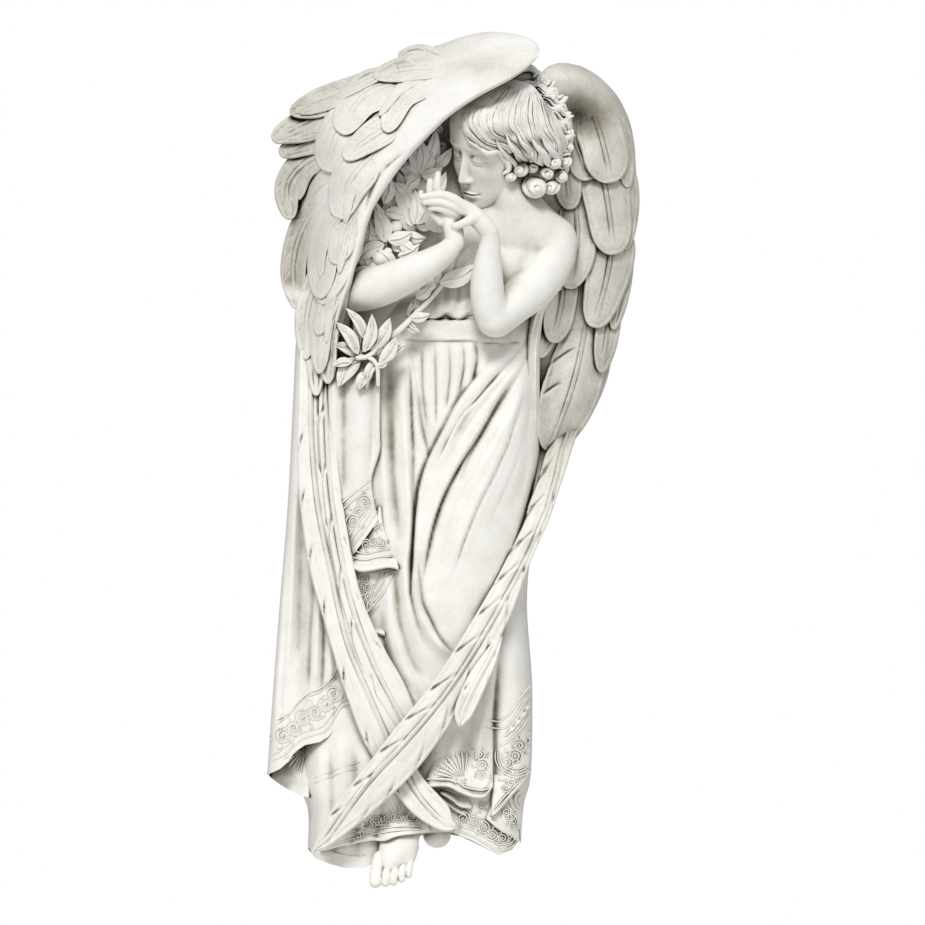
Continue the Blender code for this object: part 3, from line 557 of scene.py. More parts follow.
gown = {
    # z, left x, right x, how far out, squareness of the section
    "sections": [(92, 22, 112, 70, 2.2), (70, -8, 120, 92, 2.4), (35, -40, 114, 102, 2.6),
                 (0, -75, 104, 103, 3.0), (-30, -100, 95, 102, 3.6), (-60, -114, 92, 104, 4.2),
                 (-100, -134, 91, 108, 4.4), (-140, -142, 91, 114, 4.4), (-220, -146, 84, 121, 4.2),
                 (-300, -146, 77, 123, 4.2), (-380, -142, 82, 119, 4.4), (-445, -153, 82, 114, 4.8),
                 (-480, -151, 80, 112, 5.0), (-503, -142, 74, 110, 5.0), (-535, -142, 71, 106, 5.0)],
    # how far the hem hangs below the last level, by x
    "hem": [(-141, 14), (-135, 23), (-120, 29), (-105, 33), (-88, 33), (-76, 28), (-50, 12), (-24, -2),
            (0, -3), (20, 5), (35, 13), (50, 20), (62, 15), (69, 5), (71, 2)],
    # painted shadows under the elbow and the near forearm, and painted shade behind the lower laurel
    # and over the bodice: x, z, half width, half height, amount
    "paintedShades": [(36, -31, 34, 8, 0.18), (0, 2, 34, 14, 0.06), (-92, -44, 26, 26, 0.4),
               (-50, -6, 30, 12, 0.3)],
    "columns": 140,
    "rows": 340,
    "backs": 12,
    "tuckUp": 60.0,          # mm by which the hem is tucked up behind
    # rounded ridges: path, half width on its left, half width on its right, height
    "ridges": [
        ([(-49, -30), (-47, -90), (-45, -130), (-42, -180), (-42, -230), (-45, -275), (-40, -320),
          (-28, -352), (-10, -376)], 5, 8, 8),
        ([(-33, -38), (-34, -90), (-33, -130), (-29, -158)], 3.5, 4, 4),
        ([(-22, 14), (-24, 0), (-25, -14)], 3, 3, 2.4), ([(-8, 22), (-10, 4), (-11, -14)], 3, 3, 2.6),
        ([(4, 26), (3, 6), (2, -14)], 3, 3, 2.6), ([(15, 26), (15, 6), (14, -14)], 3, 3, 2.4),
        ([(-22, -38), (-22, -90), (-16, -140)], 4.5, 4, 3),
        ([(-8, -38), (-8, -80), (-10, -125)], 3.4, 4.4, 2.6),
        ([(6, -38), (7, -70), (2, -108)], 3.2, 4.5, 3),
        ([(19, -38), (20, -62), (15, -92)], 3.4, 4, 2.6),
        ([(31, -38), (33, -56), (30, -80)], 3.6, 4, 2.4),
        ([(104, 2), (70, -38), (40, -72), (12, -104), (-6, -136), (-20, -170)], 6, 6, 5),
        ([(92, -24), (78, -80), (68, -108), (60, -138), (47, -168), (30, -200), (18, -230), (8, -258),
          (-8, -300)], 7, 13, 2.5),
        ([(86, -40), (86, -75), (88, -110), (88, -140), (84, -165), (74, -200)], 3.2, 3.2, 6),
        ([(-36, -262), (-34, -303), (-26, -325), (-14, -342), (8, -362)], 4, 5, 5.5),
        ([(-62, -270), (-59, -315), (-52, -345), (-43, -372), (-25, -405)], 6, 5, 6),
        ([(-74, -325), (-64, -365), (-54, -390), (-40, -415)], 6, 6, 5),
        ([(67, -280), (66, -350), (68, -400), (70, -450)], 11, 10, 5),
        ([(54, -330), (44, -365), (39, -395), (34, -425), (26, -470)], 5, 7, 6.5),
        ([(-26, -415), (-12, -452), (-2, -485)], 8, 8, 5),
        ([(-130, -440), (-130, -490), (-130, -540)], 7, 7, 5),
        ([(-110, -430), (-106, -490), (-104, -530)], 6, 7, 4),
        ([(-86, -440), (-82, -490), (-80, -530)], 7, 6, 4),
        ([(-60, -470), (-56, -500), (-54, -530)], 7, 6, 4),
        ([(72, -62), (48, -92), (28, -118), (12, -142), (0, -168)], 3.5, 3, 2.4),
        ([(64, -60), (40, -86), (20, -104), (4, -126), (-8, -150)], 3, 3, 2.2),
        ([(82, -70), (66, -104), (50, -134), (34, -162), (16, -194), (2, -226), (-8, -260)], 5, 3, 2.4),
        ([(-70, -90), (-67, -150), (-64, -200), (-60, -250)], 4, 4, 3),
        ([(-56, -100), (-53, -160), (-49, -205), (-46, -240)], 2.6, 2.6, 2.2),
        ([(-52, -300), (-42, -345), (-30, -372), (-8, -398)], 3.4, 3.4, 2.6),
        ([(-66, -300), (-60, -340), (-50, -372), (-36, -398), (-20, -418)], 3, 3, 2.4),
        ([(74, -290), (76, -350), (77, -420), (76, -470)], 4, 4, 2.5),
        ([(30, -420), (28, -450), (26, -485)], 5, 5, 3),
        ([(8, -430), (4, -455), (6, -480)], 5, 5, 3),
        ([(-14, -165), (-26, -220), (-33, -272)], 5, 5, 2.5),
        ([(30, -118), (8, -156), (-10, -200)], 6, 6, 2.5),
    ],
    # rolled edges: path, width of the roll, height; the cloth stands proud on the path's left, or
    # on its right where the height is below zero
    "edges": [
        ([(74, -62), (50, -98), (30, -133), (10, -165), (-5, -193), (-15, -220), (-22, -248),
          (-29, -290)], 14, -6),
        ([(40, -60), (10, -98), (-6, -128), (-20, -155), (-28, -176), (-33, -200), (-36, -240), (-38, -282),
          (-37, -300), (-30, -324), (-18, -342)], 9, 7),
        ([(60, -64), (28, -98), (12, -115), (0, -136), (-14, -166)], 8, 3.5),
        ([(-33, -255), (-29, -298), (-20, -320), (-8, -342), (12, -362)], 8, -4),
        ([(-38, -50), (-33, -95), (-28, -130), (-18, -166)], 8, -3.5),
        ([(77, -70), (70, -105), (63, -125), (57, -145), (50, -160), (42, -178), (33, -195), (24, -215),
          (14, -240), (8, -258), (-2, -290)], 11, -2.8),
        ([(96, -16), (80, -50), (62, -84), (44, -112), (28, -140), (14, -168), (2, -200)], 7, -1.6),
        ([(90, -50), (84, -84), (78, -118), (70, -150), (58, -180), (46, -206), (34, -236)], 8, -1.3),
        ([(88, -30), (58, -62), (34, -90), (14, -118), (-4, -150)], 6, -1.3),
        ([(-46, -14), (-36, -18), (-28, -15), (-21, -19.5), (-12, -19), (-4, -14), (3, -19), (11, -19.5),
          (20, -14), (30, -18)], 9, 5),
        ([(62, -300), (50, -345), (46, -375), (43, -410), (43, -450), (42, -500)], 11, -3.5),
    ],
    # grooves: path, half width, depth
    "grooves": [
        ([(-62, -50), (-60, -110), (-58, -160), (-53, -210), (-46, -262)], 6, 4.5),
        ([(-39, -46), (-38, -110), (-37, -160), (-38, -212)], 2.4, 2.6),
        ([(-28, -42), (-27, -90), (-22, -134)], 2.0, 1.7),
        ([(-15, -40), (-14, -85), (-14, -130)], 1.8, 1.6),
        ([(-1, -40), (0, -75), (-4, -112)], 1.8, 1.6),
        ([(13, -40), (14, -66), (9, -98)], 1.8, 1.6),
        ([(25, -40), (27, -58), (23, -84)], 2.4, 2.5),
        ([(81, -60), (79, -100), (78, -140), (74, -175), (62, -218)], 4, 2.5),
        ([(-56, -262), (-51, -310), (-44, -340), (-34, -366), (-14, -392)], 4, 5),
        ([(-70, -325), (-60, -368), (-46, -402)], 3.4, 4),
        ([(47, -360), (46, -420), (46, -460), (45, -512)], 5.5, 5),
        ([(-120, -440), (-118, -490), (-118, -545)], 5, 2),
        ([(-97, -440), (-94, -490), (-92, -540)], 5, 2),
        ([(-70, -460), (-68, -500), (-66, -540)], 4, 2.2),
        ([(-5, -415), (-22, -455), (-40, -480)], 5, 5),
    ],
    # soft swellings: x, z, half width, half height, height
    "swellings": [(20, -215, 40, 90, 15), (-10, -305, 34, 55, 8), (55, 10, 40, 30, 4),
                  (-10, -8, 34, 10, 4)],
    # belt let into the cloth: its upper line, its lower line, how far it stands out
    "belt": ([(-40, -19), (0, -20), (30, -21), (66, -24)],
             [(-40, -39), (0, -40), (30, -41), (66, -44)], 3.0),
    "beltFrom": (-48, 74),   # x where it comes out of the cloth and where it goes in again
    "hemFrom": (-440, 95),   # z where the hem's hang begins, and mm over which it grows
}
fold = {
    "reach": 4,              # widths over which a fold is worked out
    "taper": 4.5,            # how soon a fold dies away at its ends
    "core": 0.75,            # share of a ridge in its core, and the rest in a skirt twice as wide
    "roll": (0.6, 3.2, 1.15),      # mm before a rolled edge where it climbs, mm of climb, and its overshoot
    "undercut": (0.35, 1.2, 2.6),  # groove beside it: depth, how far off, width
}


# Height of the folds. A ridge falls off as exp(-(distance / width)^2) with a wider skirt, a rolled
# edge climbs within 3 mm of its line and dies away over its width, a groove is a ridge below zero.
def foldHeight(x, z, made):
    height = np.zeros(x.shape)
    for sign, kind in ((1, "ridges"), (-1, "grooves")):
        for path, *widths, rise in made.get(kind, []):
            near, signed, along = pathField(x, z, path, fold["reach"] * max(widths))
            width = np.where(signed > 0, widths[0], widths[-1])
            ends = ease(np.minimum(along, 1 - along) * fold["taper"])
            gap = (signed / width) ** 2
            section = fold["core"] * np.exp(-gap) + (1 - fold["core"]) * np.exp(-gap / 4)
            height[near] += sign * rise * ends * section
    before, climb, over = fold["roll"]
    depth, off, wide = fold["undercut"]
    for path, width, rise in made.get("edges", []):
        near, signed, along = pathField(x, z, path, fold["reach"] * width)
        signed = signed * np.sign(rise)
        ends = ease(np.minimum(along, 1 - along) * fold["taper"])
        proud = np.exp(-np.maximum(signed, 0) / width) * ease((signed + before) / climb) * over
        low = -depth * np.exp(-((signed + off) / wide) ** 2)
        height[near] += abs(rise) * ends * (proud + low)
    for cx, cz, halfX, halfZ, rise in made.get("swellings", []):
        height += rise * np.exp(-(((x - cx) / halfX) ** 2) - ((z - cz) / halfZ) ** 2)
    return height


# How far out the gown stands at (x, z): a superellipse across each level, with folds and belt.
def gownDepth(x, z):
    left, right, out, square = course(gown["sections"], z)
    share = np.clip(2 * (x - left) / (right - left) - 1, -0.9999, 0.9999)
    base = out * (1 - np.abs(share) ** square) ** (1 / square)
    rise = foldHeight(x, z, gown)
    top, bottom, proud = gown["belt"]
    above, below = np.interp(x, *zip(*top)) - z, z - np.interp(x, *zip(*bottom))
    flat = ease(above / 1.6 + 0.5) * ease(below / 1.6 + 0.5)
    flat = flat * ease((x - gown["beltFrom"][0]) / 8) * ease((gown["beltFrom"][1] - x) / 8)
    rise = rise * (1 - flat) + flat * proud
    return base + rise * np.clip(base / out, 0, 1) ** 1.2


# Gown: each level runs from the left outline to the right one, closer spaced towards the sides,
# and is closed along the wall.
def buildGown():
    rows, cols = gown["rows"], gown["columns"]
    turn = np.linspace(0, math.pi, cols)
    share = 0.5 - 0.5 * np.cos(turn) * (0.55 + 0.45 * np.abs(np.cos(turn)) ** 3)
    z = np.linspace(gown["sections"][-1][0], gown["sections"][0][0], rows)[:, None] + 0 * share
    left, right, _, _ = course(gown["sections"], z)
    x = left + (right - left) * share
    depth = np.maximum(gownDepth(x, z), 0.3)
    begins, grows = gown["hemFrom"]
    drop = np.interp(x, *zip(*gown["hem"])) * np.clip((begins - z) / grows, 0, 1) ** 1.5
    front = np.stack([x, z - drop, depth], axis=-1)
    layDown(front)
    back = front[:, columnsBack(cols, gown["backs"])].copy()
    back[..., 2] = 0
    rings = tucked(np.concatenate([front, back], axis=1), 0, 0.0, gown["tuckUp"])
    makePiece("gown", [tube(rings)], wash=paintedShadeOf(*gown["paintedShades"]))


buildGown()


nearWing = {
    # strips across the wing: outer (x, z), leading (x, z), how far out the leading and outer edges stand
    "strips": [(90, 250, 88, 243, 138, 124), (83, 259.5, 76, 231, 150, 112), (60, 267, 60, 220, 160, 84),
               (25, 266.5, 28, 203, 165, 62), (-25, 250, 0, 184, 166, 46), (-65, 234, -24, 161, 165, 36),
               (-112, 214, -45, 138, 163, 28), (-140, 192, -64, 112, 160, 24), (-146, 145, -80, 84, 157, 22),
               (-150, 98, -88, 56, 154, 22), (-150, 50, -98, 22, 152, 22), (-150, 5, -109, -12, 146, 26),
               (-151, -40, -117, -52, 130, 36), (-152, -86, -121, -90, 108, 44),
               (-152, -112, -122, -112, 92, 44)],
    "rows": 210,
    "columns": 66,
    "backs": 24,
    "paintedShades": [(44, 232, 40, 16, 0.18), (-40, 235, 50, 14, 0.1)],   # painted shade, greyer along the top towards the rim over the head: x, z, half width, half height, amount
    "wall": 15.0,            # thickness where it hoods the head
    "rim": (0.93, 5.0),      # share across where the leading edge rounds over, and by how much
    "outer": (0.05, 6.0),    # the same at the outer edge
    "hood": 0.5,             # share across where its back begins to leave the wall
    # grooves that draw the roll of the leading edge and the combing of the smooth band
    "grooves": [
        ([(-40, 152), (-60, 136), (-72, 122), (-80, 106), (-84, 92), (-86, 78)], 1.6, 2.2),
        ([(-56, 140), (-72, 128), (-79, 114), (-84, 96)], 2.2, 1.2),
        ([(-22, 205), (-36, 190), (-46, 180)], 1.3, 0.7),
        ([(-12, 240), (-22, 228), (-34, 218)], 1.4, 0.9),
        ([(-4, 236), (-14, 222), (-26, 208)], 1.4, 0.7),
        ([(60, 258), (20, 255), (-10, 246)], 3.0, 0.6),
    ],
}
# Feathers of the near wing from its outer edge inwards, each laid over those before it:
# path, half width, how far the tip stands off.
nearCoverts = [
    ([(-104, 152), (-142, 120), (-164, 82)], 16, 1),
    ([(-120, 112), (-148, 70), (-157, 30), (-152, -10)], 14, 4),
    ([(-100, 152), (-138, 142), (-162, 116), (-160, 80)], 15, 6),
    ([(-96, 172), (-136, 160), (-171, 146)], 14, 4),
    ([(-92, 194), (-136, 182), (-178, 160)], 15, 5),
    ([(-40, 227), (-104, 206), (-160, 187)], 16.5, 5),
    ([(-114, 30), (-132, -30), (-134, -96)], 12, 4),
    ([(-104, 20), (-121, -34), (-122, -84)], 11, 4),
    ([(-112, 60), (-140, 0), (-145, -60)], 13, 3),
    ([(-102, 40), (-126, -20), (-131, -74)], 12, 4),
    ([(-96, 50), (-116, 8), (-133, -35)], 12, 4),
    ([(-90, 74), (-109, 32), (-130, -4)], 13, 4),
    ([(-92, 118), (-122, 66), (-131, 1)], 17, 5),
    ([(-82, 104), (-101, 70), (-117, 36)], 15, 4),
    ([(-62, 196), (-108, 172), (-124, 128)], 22, 5),
    ([(-66, 158), (-98, 122), (-112, 81)], 21, 5),
    ([(-42, 222), (-86, 204), (-111, 167)], 21, 5),
    ([(-40, 184), (-74, 166), (-107, 142)], 15, 5),
    ([(-4, 222), (-44, 206), (-65, 168)], 14, 4),
    ([(0, 238), (-30, 247), (-52, 244)], 9, 3),
    ([(6, 232), (-38, 232), (-77, 224)], 13, 5),
    ([(-18, 226), (-50, 210), (-71, 184)], 5, 2), ([(-52, 232), (-88, 216), (-121, 198)], 5.5, 2),
    ([(-76, 136), (-98, 108), (-105, 76)], 5.5, 2), ([(-86, 104), (-104, 66), (-111, 26)], 6, 2),
    ([(-98, 104), (-126, 60), (-130, 22)], 6, 2), ([(-112, 176), (-140, 164), (-168, 158)], 5, 2),
    ([(-120, 142), (-141, 127), (-151, 100)], 5, 2),
    ([(-100, 60), (-117, 10), (-124, -44)], 5.5, 2), ([(-96, 206), (-124, 194), (-150, 186)], 5, 2),
]
farWing = {
    # z, left x, right x, how far out
    "sections": [(237, 108, 118, 12), (235, 100, 128, 34), (230, 94, 139, 48), (220, 86, 153, 58),
                 (200, 74, 170, 64), (170, 70, 182, 66), (130, 70, 186, 62), (90, 70, 186, 58),
                 (40, 70, 181, 54), (-10, 66, 169, 52), (-60, 60, 153, 52), (-100, 60, 138, 52),
                 (-135, 60, 121, 52), (-175, 50, 104, 58), (-215, 50, 90, 70), (-250, 50, 80, 78),
                 (-290, 45, 70, 80)],
    "rows": 190,
    "columns": 46,
    "backs": 8,
    # the rolled leading edge, and the hollow inside it
    "ridges": [([(84, 214), (104, 224), (128, 222), (148, 210), (164, 190), (175, 164),
                 (180, 138)], 11, 8, 9)],
    "swellings": [(130, 184, 24, 17, -16)],
    # painted shadow of the head and hair in the hollow inside the roll, and a faint painted shade over the
    # whole wing: x, z, half width, half height, amount
    "paintedShades": [(120, 184, 18, 20, 0.4), (142, 180, 18, 16, 0.36), (128, 196, 26, 14, 0.2),
               (140, 90, 60, 160, 0.05)],
}
# Feathers of the far wing from its tip upwards, as above; some with splits: where along the
# length, on which side, how far in.
farCoverts = [
    ([(152, 6), (142, -60), (127, -126)], 19, 4),
    ([(140, -6), (124, -80), (99, -153)], 29, 6, ((0.45, -1, 24), (0.68, -1, 20))),
    ([(166, 40), (159, -20), (151, -73)], 13, 5),
    ([(92, 24), (96, -16), (90, -58)], 14, 6),
    ([(110, 44), (112, 4), (103, -43)], 17, 7),
    ([(168, 100), (173, 30), (163, -30)], 11, 3),
    ([(100, 100), (104, 50), (106, 8)], 16, 4),
    ([(162, 100), (159, 35), (144, -28)], 24, 7),
    ([(124, 112), (127, 62), (119, 11)], 21, 7),
    ([(166, 160), (178, 100), (175, 50)], 12, 3),
    ([(148, 150), (158, 95), (164, 45)], 25, 7),
    ([(112, 170), (116, 130), (120, 90)], 17, 4),
    ([(152, 205), (171, 160), (178, 112)], 12, 2),
    ([(116, 184), (127, 155), (140, 120)], 19, 5),
    ([(140, 196), (152, 160), (162, 117)], 25, 8),
]
plumage = {
    "pitch": 2.3,            # mm between the combed lines of a vane
    "furrows": 2.6,          # broad furrows on each side of the shaft, and their depth
    "furrow": 0.6,
    "barbs": 17.0,           # mm between groups of barbs
    "barb": 0.9,             # how much each overlaps the next, and how far it reaches
    "barbReach": 6.0,
    "slant": 0.2,            # how fast the lines spread from the shaft
    "splitSlant": 1.0,       # how far a split runs towards the root for each millimetre inwards
    "step": 2.2,             # rise of the barbs past a split, and how soon they sink again
    "rightStep": 0.6,        # share of that rise on the other side of the shaft
    "fall": 9.0,
    "shaft": 1.1,            # rise of the shaft
    "rim": 0.8,              # rise of the rolled rim
    "dome": 0.13,            # rise of the middle for each millimetre of half width
    "buried": 3.0,           # how deep the root starts under the bed
    "ground": 12,            # how often the bed below is smoothed first
    "belly": 3.0,            # thickness below the bed
    "spacing": 1.75,         # mm between a covert's rows and columns
}
farPlumage = {**plumage, "furrow": 0.25, "barb": 0.35, "shaft": 1.5, "dome": 0.2}
longPlumage = {**plumage, "furrow": 0.18, "furrows": 1.6, "shaft": 1.6, "splitSlant": 2.1,
               "step": 2.9, "fall": 15.0, "barb": 0.0}


# A feather's surface: shaft between two grooves, broad furrows along it, a rolled rim, and where
# barbs have parted a step that falls towards the root; groups of barbs overlap as a saw wave.
def featherRelief(made, splits=()):
    slant = made["splitSlant"]

    def relief(run, offset, t, edge, left):
        away = np.abs(offset)
        rooted = ease(run / 20.0)
        wave = made["furrows"] * np.abs(t) ** 1.2 + 0.15 * np.sin(run / 14.0)
        furrow = 1 - np.abs(np.sin(math.pi * wave)) ** 0.8
        rise = -made["furrow"] * furrow * ease(edge / 5.0) * ease(away / 3.0) * rooted
        shaft = bell(offset, 1.2) - 0.6 * bell(away - 2.6, 0.9)
        rise = rise + made["shaft"] * shaft * ease(left / 24.0 - 0.1)
        rise = rise + made["rim"] * (bell(edge - 1.6, 1.3) - 0.7 * bell(edge - 4.8, 1.6)) * rooted
        group = ((run + edge * slant + 4 * np.sin(run / 31.0)) / made["barbs"] + 0.37 * (offset > 0)) % 1
        step = np.exp(-group * made["barbs"] / made["barbReach"]) * ease(group * made["barbs"] / 2.2)
        rise = rise + made["barb"] * step * ease(away / 4.0) * rooted
        for at, side, reach in splits:
            inside = np.where(np.sign(offset) == side, edge, 99.0)
            bend = 1 + 0.25 * np.sin(inside / reach * math.pi)
            gap = (run - at + inside * slant * bend) / math.hypot(1, slant)
            fade = ease((reach - inside) / reach * 2.2)
            high = made["step"] * (made["rightStep"] if side > 0 else 1.0)
            past = ease((gap + 1.4) / 2.8) * np.exp(-np.clip(gap, 0, None) / made["fall"])
            rise = rise + fade * high * (past - 0.6 * bell(gap + 2.1, 1.7))
        return rise

    return relief


# Combed lines, counted: they leave the shaft at a small angle and drift a little.
def combing(made, run, offset):
    away = np.abs(offset)
    drift = 1.3 * np.sin(run / 10.0 + away / 5.0)
    return (away - made["slant"] * run + drift + 0.5 * np.sin(run / 3.7 - away / 2.3)) / made["pitch"]


# Half width of a feather with a round tip: grows from the root, then (1 - s^p)^(1/2.2).
def featherWidth(shares, half, power=4.0):
    return half * (0.6 + 0.4 * ease(shares / 0.4)) * np.maximum(1 - shares**power, 0) ** (1 / 2.2) + 0.15


# A short feather laid on the smoothed bed: its root is buried, its middle domed, its tip stands
# off, and its back goes below the bed so that it shows no gap. It raises the bed for the next.
def covert(path, half, off, splits=(), made=plumage):
    length = pathLength(path)
    shares = 1 - (1 - np.linspace(0, 1, int(length / made["spacing"]) + 6)) ** 1.4
    line = smoothPath(path, shares=shares)
    _, across = waysOf(line)
    width = (featherWidth(shares, half) * (1 + 0.05 * np.sin(length + 9 * shares)))[:, None]
    cols = 2 * int(half / made["spacing"]) + 3
    even = np.linspace(-1, 1, cols)[None, :]
    t = np.sin(even * math.pi / 2) * 0.5 + even * 0.5      # columns closer together at the rims
    offset = t * width
    flat = line[:, None, :2] + across[:, None, :] * offset[..., None]
    s = shares[:, None]
    edge = width * (1 - np.abs(t))
    left = length * (1 - s)
    dome = made["dome"] * width * (1 - t**2) * ease(s * 3)
    lift = -made["buried"] + (made["buried"] + off) * ease(s / 0.7) + dome
    lift = lift - 2.2 * np.exp(-np.minimum(edge, left + 0.3) / 0.8)
    cuts = [(share * length, side, reach) for share, side, reach in splits]
    level = groundUnder(flat[..., 0], flat[..., 1], made["ground"]) + lift
    relief = featherRelief(made, cuts)(length * s, offset, t, np.minimum(edge, left), left)
    lines = combing(made, length * s, offset)
    front = np.dstack([flat, level + relief, lines])
    pick = columnsBack(cols, backColumns(cols))
    back = np.dstack([flat[:, pick], level[:, pick] - off - made["buried"] - made["belly"], lines[:, pick]])
    layDown(front)
    settle(1)
    return closed(front, back)


# Near wing: each strip rises from the outer edge to the leading edge as sin(share)^0.85, rounds
# over the rim, and runs back under the hood to the wall.
def buildNearWing():
    rows, cols = nearWing["rows"], nearWing["columns"]
    table = [(k, *row) for k, row in enumerate(nearWing["strips"])]
    outerX, outerZ, leadX, leadZ, high, low = course(table, np.linspace(0, len(table) - 1, rows)[:, None])
    share = np.linspace(0, 1, cols)[None, :]
    share = ease(share) * 0.4 + share * 0.6
    x = outerX + (leadX - outerX) * share
    z = outerZ + (leadZ - outerZ) * share
    begins, over = nearWing["rim"]
    ends, under = nearWing["outer"]
    rim = np.clip((share - begins) / 0.07, 0, 1)
    depth = low + (high - low) * np.sin(share * math.pi / 2) ** 0.85 - over * rim**2.5
    depth = depth - under * (1 - np.clip(share / ends, 0, 1)) ** 2
    # Combed lines that run along the wing and waver, plain on the smooth band by the rim.
    way = np.linspace(0, 1, rows)[:, None]
    inside = np.clip(0.62 - share, 0, 1) * ease(-x / 30)
    waver = 1.2 * np.sin(way * 9) + 0.5 * np.sin(way * 31 + share * 5)
    lines = 37 - inside * 56 + waver * ease(inside / 0.2)
    depth = depth + foldHeight(x, z, nearWing)
    front = np.dstack([x, z, depth, lines])
    pick = columnsBack(cols, nearWing["backs"])
    wall = nearWing["wall"] * (0.45 + 0.55 * ease((1 - share[:, pick]) / 0.12))
    hood = ease((share[:, pick] - nearWing["hood"]) / 0.14)
    back = np.dstack([x[:, pick], z[:, pick], np.maximum((depth[:, pick] - wall) * hood, 0),
                      lines[:, pick]])
    layDown(front)
    settle(2)
    makePiece("nearWing", [closed(front, back)], wash=paintedShadeOf(*nearWing["paintedShades"]))


# Far wing: a plate whose levels fall from the shoulder to the outline as (1 - share^3.2)^0.55.
def buildFarWing():
    rows, cols = farWing["rows"], farWing["columns"]
    z = np.linspace(farWing["sections"][-1][0], farWing["sections"][0][0], rows)[:, None]
    left, right, out = course(farWing["sections"], z)
    share = np.linspace(0, 1, cols)[None, :] ** 0.85
    x = left + (right - left) * share
    depth = out * np.maximum(1 - share**3.2, 0) ** 0.55 * (0.93 + 0.07 * np.cos(share * math.pi))
    depth = np.maximum(depth + foldHeight(x, z + 0 * x, farWing) * (1 - share), 1.0)
    front = np.dstack([x, z + 0 * x, depth])
    back = front[:, columnsBack(cols, farWing["backs"])].copy()
    back[..., 2] = 0
    layDown(front)
    settle(2)
    # The far wing and its coverts carry the same painted shadow and painted shade.
    paintedShades = paintedShadeOf(*farWing["paintedShades"])
    makePiece("farWing", [closed(front, back)], wash=paintedShades)
    makePiece("farCoverts", [covert(*feather, made=farPlumage) for feather in farCoverts], wash=paintedShades)


buildFarWing()

longFeathers = {
    # the far wing's longest feather: shaft (x, z, out) and its two edges (x, z)
    "crossing": {
        "shaft": [(122, -108, 18), (117, -132, 32), (111, -155, 56), (106, -178, 76), (98, -206, 94),
                  (92, -222, 101), (78, -255, 114), (55, -298, 132), (26, -348, 148), (-5, -395, 155),
                  (-43, -440, 156), (-80, -480, 153), (-104, -512, 147), (-124, -540, 140),
                  (-138, -553, 133)],
        "left": [(136, -106), (126, -136), (119, -158), (112, -180), (104, -205), (98, -222), (82, -258),
                 (61, -315), (36, -362), (9, -410), (-27, -462), (-66, -503), (-97, -532), (-122, -551),
                 (-137, -554)],
        "right": [(100, -110), (98, -136), (93, -160), (86, -186), (76, -212), (72, -228), (62, -248),
                  (38, -294), (8, -344), (-22, -389), (-58, -432), (-92, -476), (-116, -505), (-134, -529),
                  (-142, -548)],
        "splits": [(0.10, -1, 16), (0.155, -1, 16), (0.20, 1, 13), (0.235, -1, 17), (0.27, 1, 14),
                   (0.31, -1, 19), (0.35, 1, 15), (0.385, -1, 20), (0.44, 1, 17), (0.46, -1, 21),
                   (0.52, 1, 18), (0.545, -1, 21), (0.60, 1, 19), (0.635, -1, 22), (0.68, 1, 19),
                   (0.71, -1, 22), (0.76, 1, 19), (0.79, -1, 21), (0.84, 1, 17), (0.87, -1, 18),
                   (0.905, 1, 13), (0.94, -1, 13)],
        "thickness": 8.0,
        "spacing": 1.15,
    },
    "crossingShort": {
        "shaft": [(50, -336, 140), (41, -356, 152), (29, -378, 160), (19, -398, 163), (12, -415, 162),
                  (10, -427, 158)],
        "left": [(52, -338), (47, -360), (38, -382), (29, -402), (21, -418), (14, -427)],
        "right": [(48, -335), (34, -353), (20, -373), (10, -393), (4, -412), (6, -426)],
        "splits": [(0.5, 1, 7), (0.75, -1, 7)],
        "thickness": 7.0,
    },
    # the near wing's long feathers: outer, whose end shows below the crossing feather, and inner
    "nearOuter": {
        "shaft": [(-136, -50, 104), (-139, -110, 117), (-137, -160, 123), (-131, -212, 127),
                  (-118, -275, 132), (-104, -338, 137), (-84, -388, 138), (-66, -430, 134), (-46, -470, 131),
                  (-28, -500, 132), (-8, -521, 129), (5, -528, 124)],
        "left": [(-128, -50), (-127, -110), (-126, -160), (-121, -210), (-108, -270), (-93, -330),
                 (-72, -378), (-52, -418), (-36, -462), (-19, -484), (2, -502), (14, -516)],
        "right": [(-150, -50), (-152, -110), (-152, -160), (-149, -212), (-138, -280), (-119, -345),
                  (-101, -402), (-84, -446), (-62, -482), (-42, -512), (-16, -534), (-2, -540)],
        "splits": [(0.15, 1, 8), (0.2, -1, 10), (0.26, 1, 9), (0.31, -1, 10), (0.37, 1, 9), (0.42, -1, 11),
                   (0.48, 1, 10), (0.53, -1, 12), (0.6, 1, 11), (0.66, -1, 12), (0.73, 1, 11),
                   (0.79, -1, 12), (0.84, 1, 11), (0.9, -1, 10), (0.94, 1, 8)],
        "thickness": 7.0,
    },
    "nearInner": {
        "shaft": [(-123, -50, 108), (-124, -110, 121), (-120, -185, 127), (-110, -250, 132),
                  (-97, -308, 137), (-79, -358, 140), (-58, -400, 136), (-42, -430, 130), (-31, -447, 120)],
        "left": [(-115, -50), (-113, -130), (-110, -180), (-100, -246), (-88, -298), (-68, -344),
                 (-44, -386), (-30, -420), (-25, -442)],
        "right": [(-130, -50), (-131, -130), (-127, -190), (-118, -255), (-104, -318), (-88, -368),
                  (-66, -410), (-50, -436), (-36, -451)],
        "splits": [(0.13, 1, 8), (0.18, -1, 8), (0.24, 1, 8), (0.32, -1, 8), (0.38, 1, 8), (0.45, -1, 9),
                   (0.5, 1, 9), (0.58, -1, 10), (0.64, 1, 10), (0.7, -1, 10), (0.77, 1, 10), (0.84, -1, 9)],
        "thickness": 6.0,
    },
}


